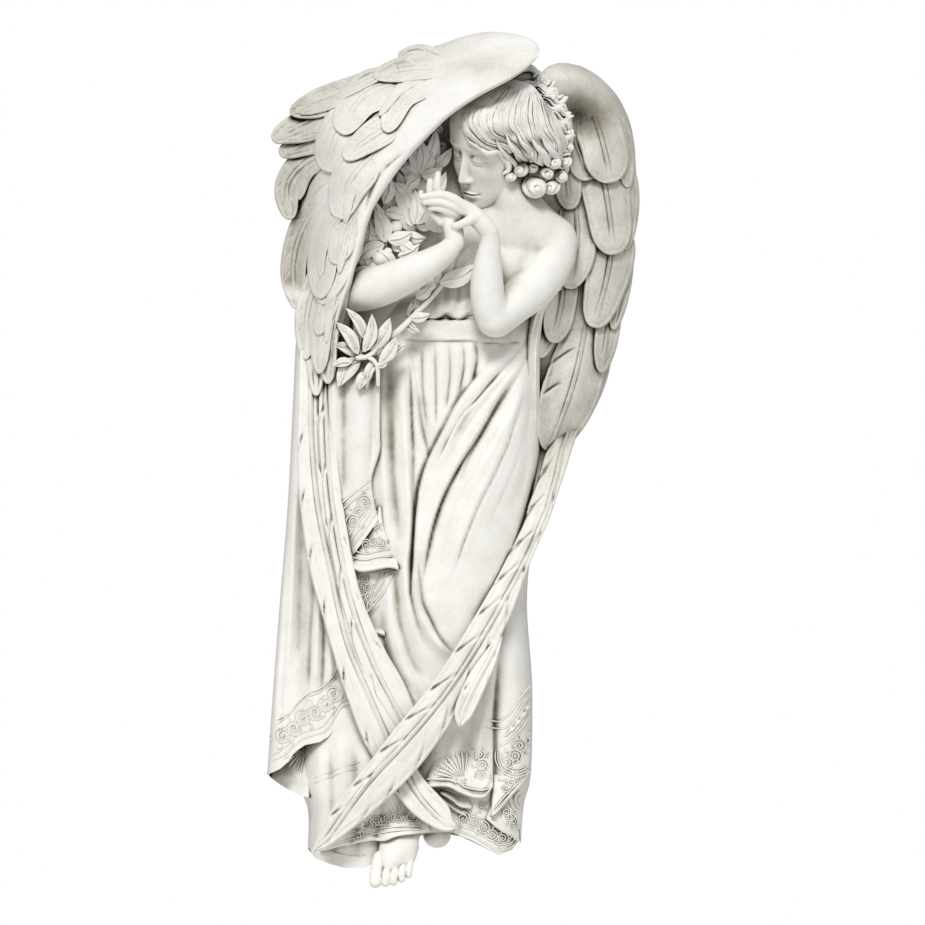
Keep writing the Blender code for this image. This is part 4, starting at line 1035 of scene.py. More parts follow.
# A long feather from its shaft and two edges: the edges are read level with the shaft, so a half
# width is the distance from shaft to edge at the same share of the length.
def longFeather(made):
    length = pathLength(made["shaft"])
    shares = 1 - (1 - np.linspace(0, 1, int(length / 1.2))) ** 1.15
    spine, left, right = (smoothPath(made[key], shares=shares) for key in ("shaft", "left", "right"))
    _, across = waysOf(spine)
    closing = np.maximum(1 - shares**18, 0) ** 0.5
    halves = [np.abs(((edge[:, :2] - spine[:, :2]) * across).sum(1)) * closing + 0.15
              for edge in (left, right)]
    splits = [(share * length, side, reach * 0.8) for share, side, reach in made["splits"]]
    front, part = vane(spine, *halves, made["thickness"], featherRelief(longPlumage, splits), camber=0.3,
                       spacing=made.get("spacing", 1.5))
    layDown(front)
    return part


# The cloak that hangs outside the near wing's feathers.
cloak = {
    # z, left x, right x, how far out
    "sections": [(10, -150, -96, 84), (-40, -154, -96, 88), (-100, -157, -92, 92), (-200, -162, -92, 99),
                 (-300, -170, -94, 104), (-390, -177, -92, 109), (-470, -183, -84, 110)],
    # how far its hem climbs above the lowest level, by x
    "climb": [(-185, -6), (-181, -4), (-170, 1), (-162, 8), (-155, 18), (-145, 25), (-130, 28), (-122, 33),
              (-113, 43), (-107, 53), (-98, 59), (-88, 66)],
    "climbFrom": (-250, 220),           # z where the climb begins, and mm over which it grows
    # painted shade in the valley beside the outer fold, and behind the lower laurel on the falls:
    # x, z, half width, half height, amount
    "paintedShade": (-146, -330, 7, 90, 0.22),
    "fallPaintedShade": (-92, -48, 26, 26, 0.4),
    "rows": 260,
    "columns": 60,
    "power": (9.0, 7.0),                # squareness of its left and right sides
    "hang": 400,                        # mm that the back lies behind the front: as far as the wall
    "ridges": [
        ([(-165, -140), (-170, -250), (-176, -360), (-176, -450)], 7, 6, 5),
        ([(-152, -160), (-158, -280), (-164, -400)], 4, 5, 3),
        ([(-140, -180), (-146, -300), (-150, -400)], 5, 6, 3),
        ([(-130, -290), (-134, -360), (-136, -420)], 5, 5, 5),
        ([(-118, -330), (-120, -380), (-120, -420)], 5, 5, 4),
    ],
    "grooves": [
        ([(-158, -150), (-163, -280), (-168, -400), (-172, -460)], 4, 3.5),
        ([(-146, -170), (-149, -290), (-150, -400)], 7, 7),
        ([(-135, -260), (-139, -350), (-141, -420)], 3.5, 3.5),
        ([(-125, -300), (-127, -370), (-128, -420)], 3, 3),
    ],
}
# The inner fall of the cloak, the folds of its ornamented hem, and the strap beside the upper arm,
# front one last: left and right curves (x, z), how far out the left and right sides stand, how
# far the foot sinks back, and the roll of its lip.
falls = {
    "cloakUnder": {
        "left": [(-172, -430), (-177, -452), (-181, -476)],
        "right": [(-132, -424), (-137, -462), (-141, -498)],
        "out": (62, 96),
        "lip": 3.0,
        "ridges": [([(-152, -444), (-156, -466), (-160, -484)], 5, 5, 4)],
    },
    "strap": {
        "left": [(104, 34), (92, 8), (82, -14), (77, -42), (75, -80), (74, -130), (72, -172)],
        "right": [(113, 32), (104, 8), (94, -14), (90, -44), (89.5, -80), (89.5, -130), (85, -182)],
        "out": (102, 93),
        "sinks": 24.0,
        "ridges": [([(109, 28), (100, 4), (90, -18), (86, -60), (86, -110), (82, -176)], 1.5, 1.5, 3.5),
                   ([(104, 24), (94, 0), (84, -22), (79, -60), (79, -110), (76, -160)], 1.5, 1.5, 2.5)],
    },
    "hemFoldLow": {
        "left": [(-84, -306), (-88, -318), (-87, -326), (-82, -332)],
        "right": [(-58, -280), (-62, -300), (-65, -318), (-66, -335)],
        "out": (118, 120),
    },
    "hemFoldDeep": {
        "left": [(-98, -258), (-95, -282), (-91, -304), (-86, -322)],
        "right": [(-50, -256), (-56, -280), (-70, -304), (-83, -321)],
        "out": (120, 124),
        "ridges": [([(-80, -262), (-80, -290), (-84, -315)], 6, 6, 2)],
    },
    "hemFoldMiddle": {
        "left": [(-73, -208), (-82, -232), (-94, -250), (-103, -263)],
        "right": [(-69, -206), (-66, -226), (-59, -246), (-52, -270)],
        "out": (124, 127),
        "lip": 5.0,
    },
    "panel": {
        "left": [(-116, -36), (-121, -70), (-122, -130), (-117, -190), (-108, -230), (-101, -261)],
        "right": [(-70, -40), (-70, -76), (-70, -130), (-70, -150), (-78, -178), (-76, -200), (-71, -219)],
        "out": (125, 130),
        "ridges": [
            ([(-91, -50), (-91, -130), (-93, -215)], 10, 8, 4),
            ([(-71.5, -50), (-71.5, -110), (-71, -156)], 3, 3, 4),
            ([(-115, -60), (-116, -130), (-113, -200)], 3, 3, 2),
        ],
        "grooves": [
            ([(-106, -50), (-106, -120), (-107, -210)], 5, 4.5),
            ([(-78, -56), (-78, -120), (-81, -186)], 3.2, 3),
        ],
    },
}


# A closed sheet over a grid of (x, z, out): its back hangs the given depth behind the front, and
# the row at its hem is tucked under.
def sheet(front, hang, hem=-1, backs=10):
    cols = front.shape[1]
    back = front[:, columnsBack(cols, backs + (cols + backs) % 2)].copy()
    back[..., 2] = np.maximum(back[..., 2] - hang, 0)
    layDown(front)
    behind = max(front[hem, :, 2].max() - hang, 0)
    return tube(tucked(np.concatenate([front, back], axis=1), hem, behind, min(30.0, hang)))


# Cloak: levels as superellipses with their own power on each side, its folds, and a hem that
# climbs to the right. Its right side stays high and runs under the feathers.
def buildCloak():
    z = np.linspace(cloak["sections"][-1][0], cloak["sections"][0][0], cloak["rows"])[:, None]
    left, right, out = course(cloak["sections"], z)
    share = np.linspace(0, 1, cloak["columns"])[None, :]
    share = 0.5 - 0.5 * np.cos(share * math.pi) * 0.35 + (share - 0.5) * 0.65
    x = left + (right - left) * share
    power = np.where(share > 0.5, cloak["power"][1], cloak["power"][0])
    base = out * (1 - np.minimum(np.abs(2 * share - 1), 0.9999) ** power) ** (1 / power)
    depth = base + foldHeight(x, z + 0 * x, cloak) * np.clip(base / out, 0, 1)
    begins, grows = cloak["climbFrom"]
    rise = np.interp(x, *zip(*cloak["climb"])) * ease((begins - z) / grows)
    front = np.dstack([x, z + rise, np.maximum(depth, 1.0)])
    return sheet(front, cloak["hang"], 0)


# A sheet between two curves with rounded sides, plus folds and, at its foot, a lip that rolls out.
def fallOfCloth(made, spacing=1.35):
    rows = int(max(pathLength(made["left"]), pathLength(made["right"])) / spacing)
    cols = int(max(r - l for (l, _), (r, _) in zip(made["left"], made["right"])) / spacing) + 2
    left, right = smoothPath(made["left"], rows), smoothPath(made["right"], rows)
    share = np.linspace(0, 1, cols)[None, :]
    flat = left[:, None, :2] * (1 - share[..., None]) + right[:, None, :2] * share[..., None]
    foot = np.linspace(0, 1, rows)[:, None] ** 12
    lip = made.get("lip", 0.0)
    flat[..., 1] -= lip * foot * np.sin(share * math.pi)
    base = made["out"][0] * (1 - share) + made["out"][1] * share + lip * 0.8 * foot
    base = base - made.get("sinks", 0.0) * np.linspace(0, 1, rows)[:, None]
    rim = np.minimum(share, 1 - share) * cols
    depth = base - 3 * (2 * share - 1) ** 2 - 3 * np.exp(-rim / 1.2)
    return np.dstack([flat, depth + foldHeight(flat[..., 0], flat[..., 1], made)])


# Layers of cloth that lie over the bed and end in a hem, each over those before it: the line where
# it leaves the cloth, its hem, how far the hem stands off, the roll of its lip, waves and their height.
flounces = [
    ([(-132, -524), (-105, -514), (-80, -508), (-52, -503), (-24, -500)],
     [(-130, -552), (-105, -546), (-80, -541), (-66, -541), (-50, -536), (-20, -533)], 6, 1.6, 5, 0.8),
    ([(46, -492), (58, -486), (74, -478)], [(36, -519), (49, -530), (60, -536), (71, -543)], 5, 1.6, 0, 0),
    ([(43, -462), (56, -452), (68, -444), (81, -430)],
     [(41, -517), (48, -512), (60, -498), (72, -485), (79, -474)], 7, 2.2, 2, 1.2),
    ([(-22, -484), (-6, -486), (10, -490)], [(-20, -494), (-8, -502), (4, -511), (17, -517)], 3, 2.5, 0, 0),
    ([(-8, -484), (4, -486), (20, -490)], [(-10, -494), (2, -501), (10, -507), (22, -509)], 5, 2.5, 0, 0),
    ([(-12, -448), (0, -443), (16, -440), (30, -440), (43, -444)],
     [(-27, -489), (-10, -487), (0, -488), (8, -492), (15, -495), (25, -498), (35, -497),
      (43, -487)], 10, 3, 2.5, 1.6),
    ([(-90, -314), (-80, -320), (-66, -322)],
     [(-89, -322), (-83, -331), (-75, -334), (-65, -336)], 3, 2, 0, 0),
    ([(-103, -250), (-88, -257), (-72, -255), (-55, -250)],
     [(-105, -262), (-100, -268), (-90, -272), (-78, -271), (-62, -268), (-51, -270)], 6, 3, 0, 0),
]


# A flounce: straight lines from its top line to its hem, lifted off the bed as ease(v), with waves
# that grow towards the hem, a rolled lip above the edge and a shallow groove over the lip.
def flounce(top, hem, off, lip, waves, high, spacing=1.35):
    cols = int(max(pathLength(top), pathLength(hem)) / spacing)
    upper, lower = smoothPath(top, cols), smoothPath(hem, cols)
    tall = np.linalg.norm(upper - lower, axis=1)[None, :]
    rows = int(tall.max() / spacing) + 4
    v = np.linspace(0, 1, rows)[:, None]
    s = np.linspace(0, 1, cols)[None, :]
    flat = upper[None, :, :2] * (1 - v[..., None]) + lower[None, :, :2] * v[..., None]
    above = (1 - v) * tall                              # mm over the hem
    lift = -4 + (4 + off) * ease(v / 0.9) + high * np.sin(waves * 2 * math.pi * s + 0.7) * ease(v * 1.2)
    lift = lift + lip * (bell(above - 1.8, 2.2) - 0.45 * bell(above - 7, 2.4)) - 1.2 * np.exp(-above / 0.7)
    lift = lift - 2.5 * np.exp(-np.minimum(s, 1 - s) * cols / 1.2)
    return sheet(np.dstack([flat, groundUnder(flat[..., 0], flat[..., 1], 4) + lift]), off + 9)


def buildCloakPieces():
    makePiece("cloak", [buildCloak()], wash=paintedShadeOf(cloak["paintedShade"]))
    hung = [sheet(fallOfCloth(made), 45) for made in falls.values()]
    makePiece("cloakFalls", hung, wash=paintedShadeOf(cloak["fallPaintedShade"]))
    makePiece("flounces", [flounce(*made) for made in flounces])
    settle(2)


# The shut-in ground between the near wing, the arms and the face.
recess = {
    # z, left x, right x, how far out
    "sections": [(222, 40, 74, 44), (212, 10, 80, 58), (196, -22, 80, 68), (170, -48, 76, 74),
                 (140, -68, 70, 78), (110, -84, 60, 82), (70, -98, 50, 88), (30, -108, 40, 90),
                 (0, -118, 30, 90), (-36, -122, 20, 94)],
    "rows": 70,
    "columns": 40,
    # painted shade over the whole shut-in ground
    "wash": 0.15,
}


# Recess: a plain ground that rounds away at its sides as (1 - |2 share - 1|^4)^0.5.
def buildRecess():
    z = np.linspace(recess["sections"][-1][0], recess["sections"][0][0], recess["rows"])[:, None]
    left, right, out = course(recess["sections"], z)
    share = np.linspace(0, 1, recess["columns"])[None, :]
    x = left + (right - left) * share
    front = np.dstack([x, z + 0 * x, np.maximum(out * (1 - np.abs(2 * share - 1) ** 4) ** 0.5, 1.0)])
    makePiece("recess", [sheet(front, cloak["hang"], 0)], wash=recess["wash"])


buildRecess()


# Limbs as stations of (x, z, out, radius), each run a tapered limb.
flesh = {
    # mm between the cells in which the skin is found
    "cell": 2.2,
    "handCell": 0.9,
    "footCell": 1.15,
    "relax": (2, 0.6),       # how often the skin is relaxed, and how far each time
    "blend": 5.0,            # mm over which neighbouring masses melt together
    # x, z, half width, half height, how much: painted shade, greyer over the chest, and a painted shadow
    # along the inner side of the arm
    "paintedShades": [(74, 90, 44, 32, 0.16), (82, 60, 5, 10, 0.06), (77, 48, 5, 10, 0.12), (71, 36, 5, 10, 0.15),
               (66, 24, 5, 10, 0.14), (61, 12, 5, 9, 0.08)],
    "torso": [
        [(50, 132, 92, 23), (58, 112, 90, 23), (66, 92, 86, 27), (70, 78, 80, 32)],
        [(8, 66, 76, 24), (40, 72, 82, 30), (74, 70, 82, 32), (100, 60, 78, 25)],
        [(38, 40, 84, 30), (70, 34, 84, 32)],
        [(70, 60, 84, 25), (62, 34, 86, 24), (56, 8, 91, 19)],
        [(104, 58, 80, 23), (100, 38, 90, 23), (84, 14, 103, 22.5), (64, -4, 116, 20),
         (47, -20, 127, 17.5)],
        [(42, -20, 132, 15.5), (38, -2, 136, 17), (37, 18, 139, 16.5), (38, 40, 143, 13.5),
         (40, 58, 147, 10.5), (39, 68, 149, 9.8)],
    ],
    "nearArm": [
        [(-102, 6, 108, 17), (-90, 9, 120, 20.5), (-70, 14, 130, 20.5), (-46, 24, 138, 18.5),
         (-22, 36, 144, 15),
         (-4, 48, 148, 11.5), (5, 58, 149, 9.6)],
    ],
    "hands": [
        # the far hand: back of the hand, then its fingers
        ([(39, 68, 149, 9.6), (31, 78, 151, 9.8), (22, 86, 152, 9.2), (12, 93, 152, 8.0)], 3.0),
        ([(16, 92, 156, 5.2), (4, 101, 160, 4.9), (-10, 105.5, 160, 4.4), (-28, 103, 157, 3.2)], 1.4),
        ([(13, 88, 154, 5.2), (1, 95, 159, 4.9), (-12, 98.5, 159, 4.3), (-25, 97.5, 157, 3.1)], 1.4),
        ([(10, 84, 151, 5.0), (-1, 89, 156, 4.7), (-11, 92, 156, 4.1), (-20, 92, 154, 3.0)], 1.4),
        ([(28, 84, 156, 5.4), (20, 80, 160, 5.0), (12, 76, 161, 4.3), (5, 74, 159, 3.4)], 1.6),
        # the near hand: back of the hand, then its fingers behind the other's
        ([(5, 58, 149, 9.6), (4, 68, 148, 9.8), (1, 78, 147, 9.2), (-4, 86, 146, 8.0)], 3.0),
        ([(-3, 86, 147, 5.4), (-9, 98, 146, 5.0), (-13, 112, 142, 4.4), (-12, 126, 137, 3.2)], 1.4),
        ([(-7, 84, 147, 5.2), (-15, 95, 146, 4.8), (-20, 107, 142, 4.2), (-20, 119, 138, 3.1)], 1.4),
        ([(-9, 79, 147, 5.0), (-18, 88, 147, 4.6), (-26, 97, 145, 4.0), (-29, 107, 142, 3.0)], 1.4),
    ],
    # the foot: instep, heel and toes, then the end of the other foot; stations and melt
    "foot": [
        ([(-46, -512, 78, 20), (-50, -534, 98, 20), (-56, -554, 112, 15.5), (-60, -564, 118, 10)], 5.0),
        ([(-46, -548, 106, 15), (-46, -560, 112, 10)], 4.0),
        ([(-70, -558, 114, 7.4), (-74, -572, 124, 6.4), (-74.5, -582, 129, 6.2)], 1.2),
        ([(-61.5, -562, 117, 4.6), (-64, -576, 127, 4.2), (-64.5, -583, 127, 4.3)], 0.7),
        ([(-53.5, -562, 117, 4.4), (-56, -575, 126, 4.0), (-56.5, -582, 126, 4.1)], 0.7),
        ([(-46, -560, 115, 4.2), (-48, -572, 124, 3.8), (-48.5, -579, 124, 3.9)], 0.7),
        ([(-39, -556, 112, 4.1), (-41, -568, 120, 3.6), (-41.5, -575, 120, 3.7)], 0.7),
        ([(-18, -516, 60, 15), (-13, -534, 74, 14)], 3.0),
    ],
}


# Signed distance to a limb: the distance to its curved axis less the radius there.
def limbField(grid, stations):
    line = smoothPath(stations, max(3, int(pathLength(stations) / 5) + 2))
    best = np.full(grid[0].shape, 1e3)
    for a, b in zip(line[:-1], line[1:]):
        step = b[:3] - a[:3]
        offsets = [grid[k] - a[k] for k in range(3)]
        share = np.clip(sum(o * s for o, s in zip(offsets, step)) / (step @ step), 0, 1)
        gap = np.sqrt(sum((o - share * s) ** 2 for o, s in zip(offsets, step)))
        best = np.minimum(best, gap - (a[3] + (b[3] - a[3]) * share))
    return best


# Union of two distance fields that melts them together over a width.
def melt(first, second, width):
    share = np.clip(0.5 + 0.5 * (second - first) / width, 0, 1)
    return second + (first - second) * share - width * share * (1 - share)


# Skin of a field's zero level: one point in each cell that the level crosses, at the mean of the
# crossings on the cell's edges, and one quad round each crossed grid edge.
def skinOf(field, corner, cell):
    inside = field < 0
    shape = np.array(field.shape) - 1
    total, count = np.zeros((*shape, 3)), np.zeros(shape)
    corners = [(i, j, k) for i in (0, 1) for j in (0, 1) for k in (0, 1)]

    def at(array, c):
        return array[c[0]:shape[0] + c[0], c[1]:shape[1] + c[1], c[2]:shape[2] + c[2]]

    for a in corners:
        for axis in range(3):
            if a[axis]:
                continue
            b = tuple(1 if k == axis else a[k] for k in range(3))
            fa, fb = at(field, a), at(field, b)
            crossed = at(inside, a) != at(inside, b)
            share = np.where(crossed, fa / np.where(crossed, fa - fb, 1), 0)
            count += crossed
            for k in range(3):
                total[..., k] += crossed * (a[k] + (share if k == axis else 0))
    used = count > 0
    index = np.full(shape, -1)
    index[used] = np.arange(used.sum())
    cells = np.argwhere(used)
    points = (cells + total[used] / count[used][:, None]) * cell + corner
    quads = []
    for axis in range(3):
        ahead = [slice(None)] * 3
        behind = [slice(None)] * 3
        ahead[axis], behind[axis] = slice(1, None), slice(None, -1)
        crossed = inside[tuple(ahead)] != inside[tuple(behind)]
        at0 = np.argwhere(crossed)
        u, v = [k for k in range(3) if k != axis]
        at0 = at0[(at0[:, u] > 0) & (at0[:, v] > 0) & (at0[:, u] < shape[u]) & (at0[:, v] < shape[v])]
        steps = np.zeros((4, 3), int)
        steps[1, u], steps[2, [u, v]], steps[3, v] = -1, -1, -1
        ring = np.stack([index[tuple((at0 + s).T)] for s in steps], axis=-1)
        turned = inside[tuple(behind)][tuple(at0.T)] ^ (axis == 1)
        ring[~turned] = ring[~turned][:, ::-1]
        quads.append(ring)
    return outwards(points, np.concatenate(quads))


# A body of limbs in a box: (stations, blend) melted one after another, and its skin relaxed.
def body(limbs, cell):
    reach = np.array([[s[k] for stations, _ in limbs for s in stations] for k in range(4)])
    fat = reach[3].max() + 6
    low, high = reach[:3].min(1) - fat, reach[:3].max(1) + fat
    axes = [np.arange(low[k], high[k], cell) for k in range(3)]
    field = np.full([len(a) for a in axes], 50.0)
    for stations, blend in limbs:
        pick = []
        for k in range(3):
            values = [s[k] for s in stations]
            wide = max(s[3] for s in stations) + 10
            pick.append(slice(*np.searchsorted(axes[k], [min(values) - wide, max(values) + wide])))
        grid = np.meshgrid(*[axes[k][pick[k]] for k in range(3)], indexing="ij")
        field[tuple(pick)] = melt(field[tuple(pick)], limbField(grid, stations), blend)
    points, quads = skinOf(field, low, cell)
    _, _, mean = neighbours(quads, len(points))
    rounds, share = flesh["relax"]
    for _ in range(rounds):
        points = points * (1 - share) + mean(points) * share
    points[:, 2] = np.maximum(points[:, 2], 0.0)
    return points, quads


# Marks the skin's points on the bed.
def layPoints(points):
    layDown(points[:, None, :])


def buildFlesh():
    bodies = [body([(stations, flesh["blend"]) for stations in flesh[key]], flesh["cell"])
              for key in ("torso", "nearArm")]
    hands = body(flesh["hands"], flesh["handCell"])
    foot = body(flesh["foot"], flesh["footCell"])
    for points, _ in bodies + [hands, foot]:
        layPoints(points)
    makePiece("shoulderAndArms", bodies, wash=paintedShadeOf(*flesh["paintedShades"]))
    makePiece("hands", [hands])
    makePiece("foot", [foot])
    settle(2)


buildFlesh()


head = {
    "centre": (43, 158, 98),
    "turn": 40.0,            # degrees towards the viewer's left
    "bow": 32.0,             # degrees down
    "roll": 17.0,            # degrees, crown towards the viewer's right
    # level, half width, depth in front, depth behind, how far the middle lies forward
    "levels": [(57, 3, 4, 4, 0), (55, 14, 16, 20, 0), (50, 24, 27, 34, 0), (42, 32, 35.5, 45, 0),
               (30, 37, 41, 52, 0), (16, 38, 43.5, 54, 0), (4, 37, 43.2, 53, 0), (-8, 36, 42.4, 48, 0),
               (-20, 34.6, 41.6, 38, 0), (-32, 31.5, 41, 28, 0), (-42, 28.5, 39.8, 22, 1),
               (-50, 24.5, 38, 18, 2), (-57, 20, 34, 15, 4), (-62, 15, 26, 14, 8), (-65, 9, 16, 10, 14),
               (-66, 3, 5, 5, 18)],
    "square": 2.25,          # squareness of each level
    # stretches of levels with their numbers of rings: neck to chin, face, crown
    "rings": [(-66, -44, 32), (-44, 12, 88), (12, 57, 32)],
    "points": 204,
}
# The face, with the proportions of a drawing book, in mm of the head's own frame: a to the side,
# c up. Soft masses as (a, c, half width, half height, rise), on both sides unless a is 0.
faceMasses = [
    (15.5, -1.5, 8.5, 6.6, -4.6),      # eye sockets
    (7.0, 1.5, 3.6, 4.6, -2.4),        # inner corners beside the nose
    (16, 10, 11, 3.4, 1.7),            # brow ridge
    (0, 28, 22, 14, 0.9),              # forehead
    (22, -17, 8.5, 8.5, 1.5),          # cheekbones
    (30, 10, 6, 12, -1.2),             # temples
    (19, -37, 8, 10, -0.8),            # below the cheeks
    (0, -33, 9.5, 7, 1.8),             # muzzle behind the lips
    (0, -48.2, 7.5, 2.6, -1.7),        # below the lower lip
    (0, -55, 8.5, 5.2, 2.0),           # chin
    (9.4, -31, 2.6, 5.5, -0.5),        # beside the nostrils
]
# The nose's ridge as (level, rise, half width)
noseRidge = [(12, 0.0, 5.0), (6, 0.6, 3.8), (0, 2.2, 3.1), (-6, 4.6, 2.9), (-12, 7.2, 3.1), (-17, 9.6, 3.6),
             (-21, 11.2, 4.3), (-24, 11.2, 4.7), (-26.2, 8.6, 4.8), (-28, 4.0, 4.6), (-30, 1.0, 4.0),
             (-33, 0.0, 3.6)]
# Its round wings, nostrils and the creases beside them, as masses.
noseSides = [(6.0, -25.2, 2.5, 3.0, 3.6), (3.2, -28.6, 1.5, 1.2, -1.5), (8.8, -25.0, 0.9, 3.4, -0.7)]
underNose = (0, -33.0, 1.4, 3.0, -0.7)
eye = {"a": 15.2, "c": -2.2, "wide": 8.6, "high": 6.4, "rise": 4.4}
lips = {"line": -40.0, "half": 11.4, "upper": 3.0, "lower": 3.4, "upperHigh": 4.4, "lowerHigh": 5.2}


# A soft mass (a, c, half width, half height, rise), its rise times a bell on both axes.
def mass(a, c, ca, cc, wa, wc, rise):
    return rise * np.exp(-(((a - ca) / wa) ** 2) - ((c - cc) / wc) ** 2)


# How far the features stand in front of the plain oval of the head, at (a, c).
def featureRise(a, c):
    side = np.abs(a)
    rise = np.zeros(a.shape)
    for spot in faceMasses:
        rise += mass(side, c, *spot)
    # Nose: a ridge whose section is exp(-(a / half)^2.4), with round wings and nostril notches.
    ridge, half = course(noseRidge, c)
    rise += np.where((c < 10) & (c > -33), ridge * np.exp(-np.abs(a / half) ** 2.4), 0)
    for spot in noseSides:
        rise += mass(side, c, *spot)
    # Lowered lids: a dome with a fold above it and a line of lashes below it.
    da, dc = (side - eye["a"]) / eye["wide"], (c - eye["c"]) / eye["high"]
    dome = np.maximum(1 - da**2 - dc**2, 0)
    rise += eye["rise"] * dome**1.15
    lash = eye["c"] - 3.4 + 2.2 * da**2 - 0.5 * da
    fold = eye["c"] + 4.4 - 2.6 * da**2 - 0.5 * da
    within = ease((1.05 - np.abs(da)) / 0.3)
    for line, under, wide, high in ((lash, 0, 0.65, -0.9), (lash, 1.6, 0.9, 0.3), (fold, 0, 0.8, -0.5)):
        rise += high * bell(c - line + under, wide) * within
    # Brow: a soft edge along an arch.
    arch = 9.5 + 2.2 * np.sin(np.clip((side - 5) / 24, 0, 1) * math.pi)
    arch = arch - 2.0 * np.clip((side - 20) / 10, 0, 1)
    rise += 0.7 * bell(c - arch, 1.6) * ease((side - 4) / 4) * ease((29 - side) / 6)
    # Lips: two rolls that close at the corners, the upper one bowed, with the line between them.
    out = np.clip(side / lips["half"], 0, 1)
    line = lips["line"] + 0.5 * np.cos(out * math.pi * 2) * (out < 0.5) - 0.5 * (out >= 0.5) - 0.6 * out**2
    closing = np.maximum(1 - out**2, 0)
    upperHigh = lips["upperHigh"] * (1 - 0.55 * out) - 0.9 * bell(side, 1.8)
    above, below = (c - line) / upperHigh, (line - c) / lips["lowerHigh"]
    rise += lips["upper"] * closing**0.8 * ease(above / 0.35) * ease((1.1 - above) / 0.65)
    rise += lips["lower"] * closing**0.9 * ease(below / 0.35) * ease((1.1 - below) / 0.7)
    rise -= 1.3 * bell(c - line, 0.7) * ease((1.08 - out) / 0.15) * (side < lips["half"] * 1.08)
    rise += mass(side, c, lips["half"] + 0.6, lips["line"] - 0.8, 1.6, 1.6, -1.0)
    return rise + mass(a, c, *underNose)


# The head's own frame, (a, b forward, c up), to the relief's: bowed, turned, then rolled.
def fromHead(a, b, c):
    turn, bow, roll = (math.radians(head[key]) for key in ("turn", "bow", "roll"))
    x, y, z = -a, -b, c
    y, z = y * math.cos(bow) - z * math.sin(bow), y * math.sin(bow) + z * math.cos(bow)
    x, y = x * math.cos(-turn) - y * math.sin(-turn), x * math.sin(-turn) + y * math.cos(-turn)
    x, z = x * math.cos(roll) + z * math.sin(roll), -x * math.sin(roll) + z * math.cos(roll)
    cx, cz, cOut = head["centre"]
    return np.stack(np.broadcast_arrays(x + cx, z + cz, -y + cOut), axis=-1)


# Head: each level is a superellipse, and the features push its front forwards.
def buildHead():
    levels = np.array(head["levels"], float)
    c = np.unique(np.concatenate([np.linspace(*stretch) for stretch in head["rings"]]))[:, None]
    wide, front, behind, forward = course(levels, c)
    t = np.linspace(-1, 1, head["points"])[:-1]
    angle = math.pi * (0.42 * t + 0.58 * t**3)[None, :]
    power = 2 / head["square"]
    a = wide * np.sign(np.sin(angle)) * np.abs(np.sin(angle)) ** power
    cosine = np.cos(angle)
    b = np.where(cosine > 0, front, behind) * np.sign(cosine) * np.abs(cosine) ** power + forward
    b = b + featureRise(a, c + 0 * a) * ease((cosine + 0.05) / 0.35)
    rings = fromHead(a, b, c + 0 * a)[:, :-1]
    makePiece("head", [tube(rings)])
    layPoints(rings.reshape(-1, 3))
    settle(1)


buildHead()


hair = {
    # guides from the crown to the ends, one after another round the head: (x, z)
    "guides": [
        [(58, 222), (38, 213), (20, 200), (11.5, 186), (11, 174), (15, 163), (23, 155), (36, 149),
         (50, 146)],
        [(60, 222), (42, 211), (26, 197), (18, 184), (18, 173), (23, 163), (32, 157), (45, 152), (58, 146)],
        [(63, 221), (48, 208), (35, 194), (28, 182), (29, 172), (36, 164), (46, 159), (57, 155), (66, 148)],
        [(67, 220), (55, 206), (45, 192), (40, 180), (42, 171), (50, 164), (60, 159), (68, 153), (72, 145)],
        [(72, 219), (64, 205), (57, 191), (54, 180), (57, 170), (64, 162), (71, 155), (76, 148), (80, 140)],
        [(77, 218), (73, 204), (69, 191), (68, 179), (72, 168), (78, 159), (83, 151), (86, 144), (87, 136)],
        [(82, 215), (81, 202), (79, 190), (80, 178), (85, 166), (90, 157), (94, 149), (96, 141), (95, 132)],
        [(86, 211), (88, 199), (89, 188), (92, 176), (97, 165), (102, 155), (105, 146), (106, 137),
         (103, 127)],
        [(90, 206), (94, 196), (98, 186), (102, 175), (107, 164), (111, 154), (113, 145), (113, 136),
         (108, 126)],
        [(93, 200), (100, 192), (106, 184), (111, 174), (115, 164), (118, 154), (119, 146), (118, 137),
         (112, 129)],
    ],
    # the mass round the head: x, z, half width, half height, depth, and how far out it begins
    "dome": (64, 174, 60, 56, 50),
    "domeOut": 92.0,
    "smoothing": 12,         # how often the ground under the hair is smoothed
    "columns": 180,
    "rows": 110,
    # lines along the hair: how many, rise
    "clumps": (9.0, 1.2),
    "second": (23, 0.9),
    "strands": (40.0, 0.8),
    "hang": (24, 60),        # mm that the back lies behind, but no nearer to the wall than this
    # one lock: its rise, how deep its root starts, how far it stands off, strands, groove, thickness
    "lockRise": 3.4,
    "lockBuried": 5.0,
    "lockLift": 0.2,
    "lockStrands": 4.0,
    "lockGroove": 0.7,
    "lockThick": 8.0,
    "curlTurns": 1.9,
    "curlLean": 0.24,        # how far the middle of a curl leans aside, for its radius
}
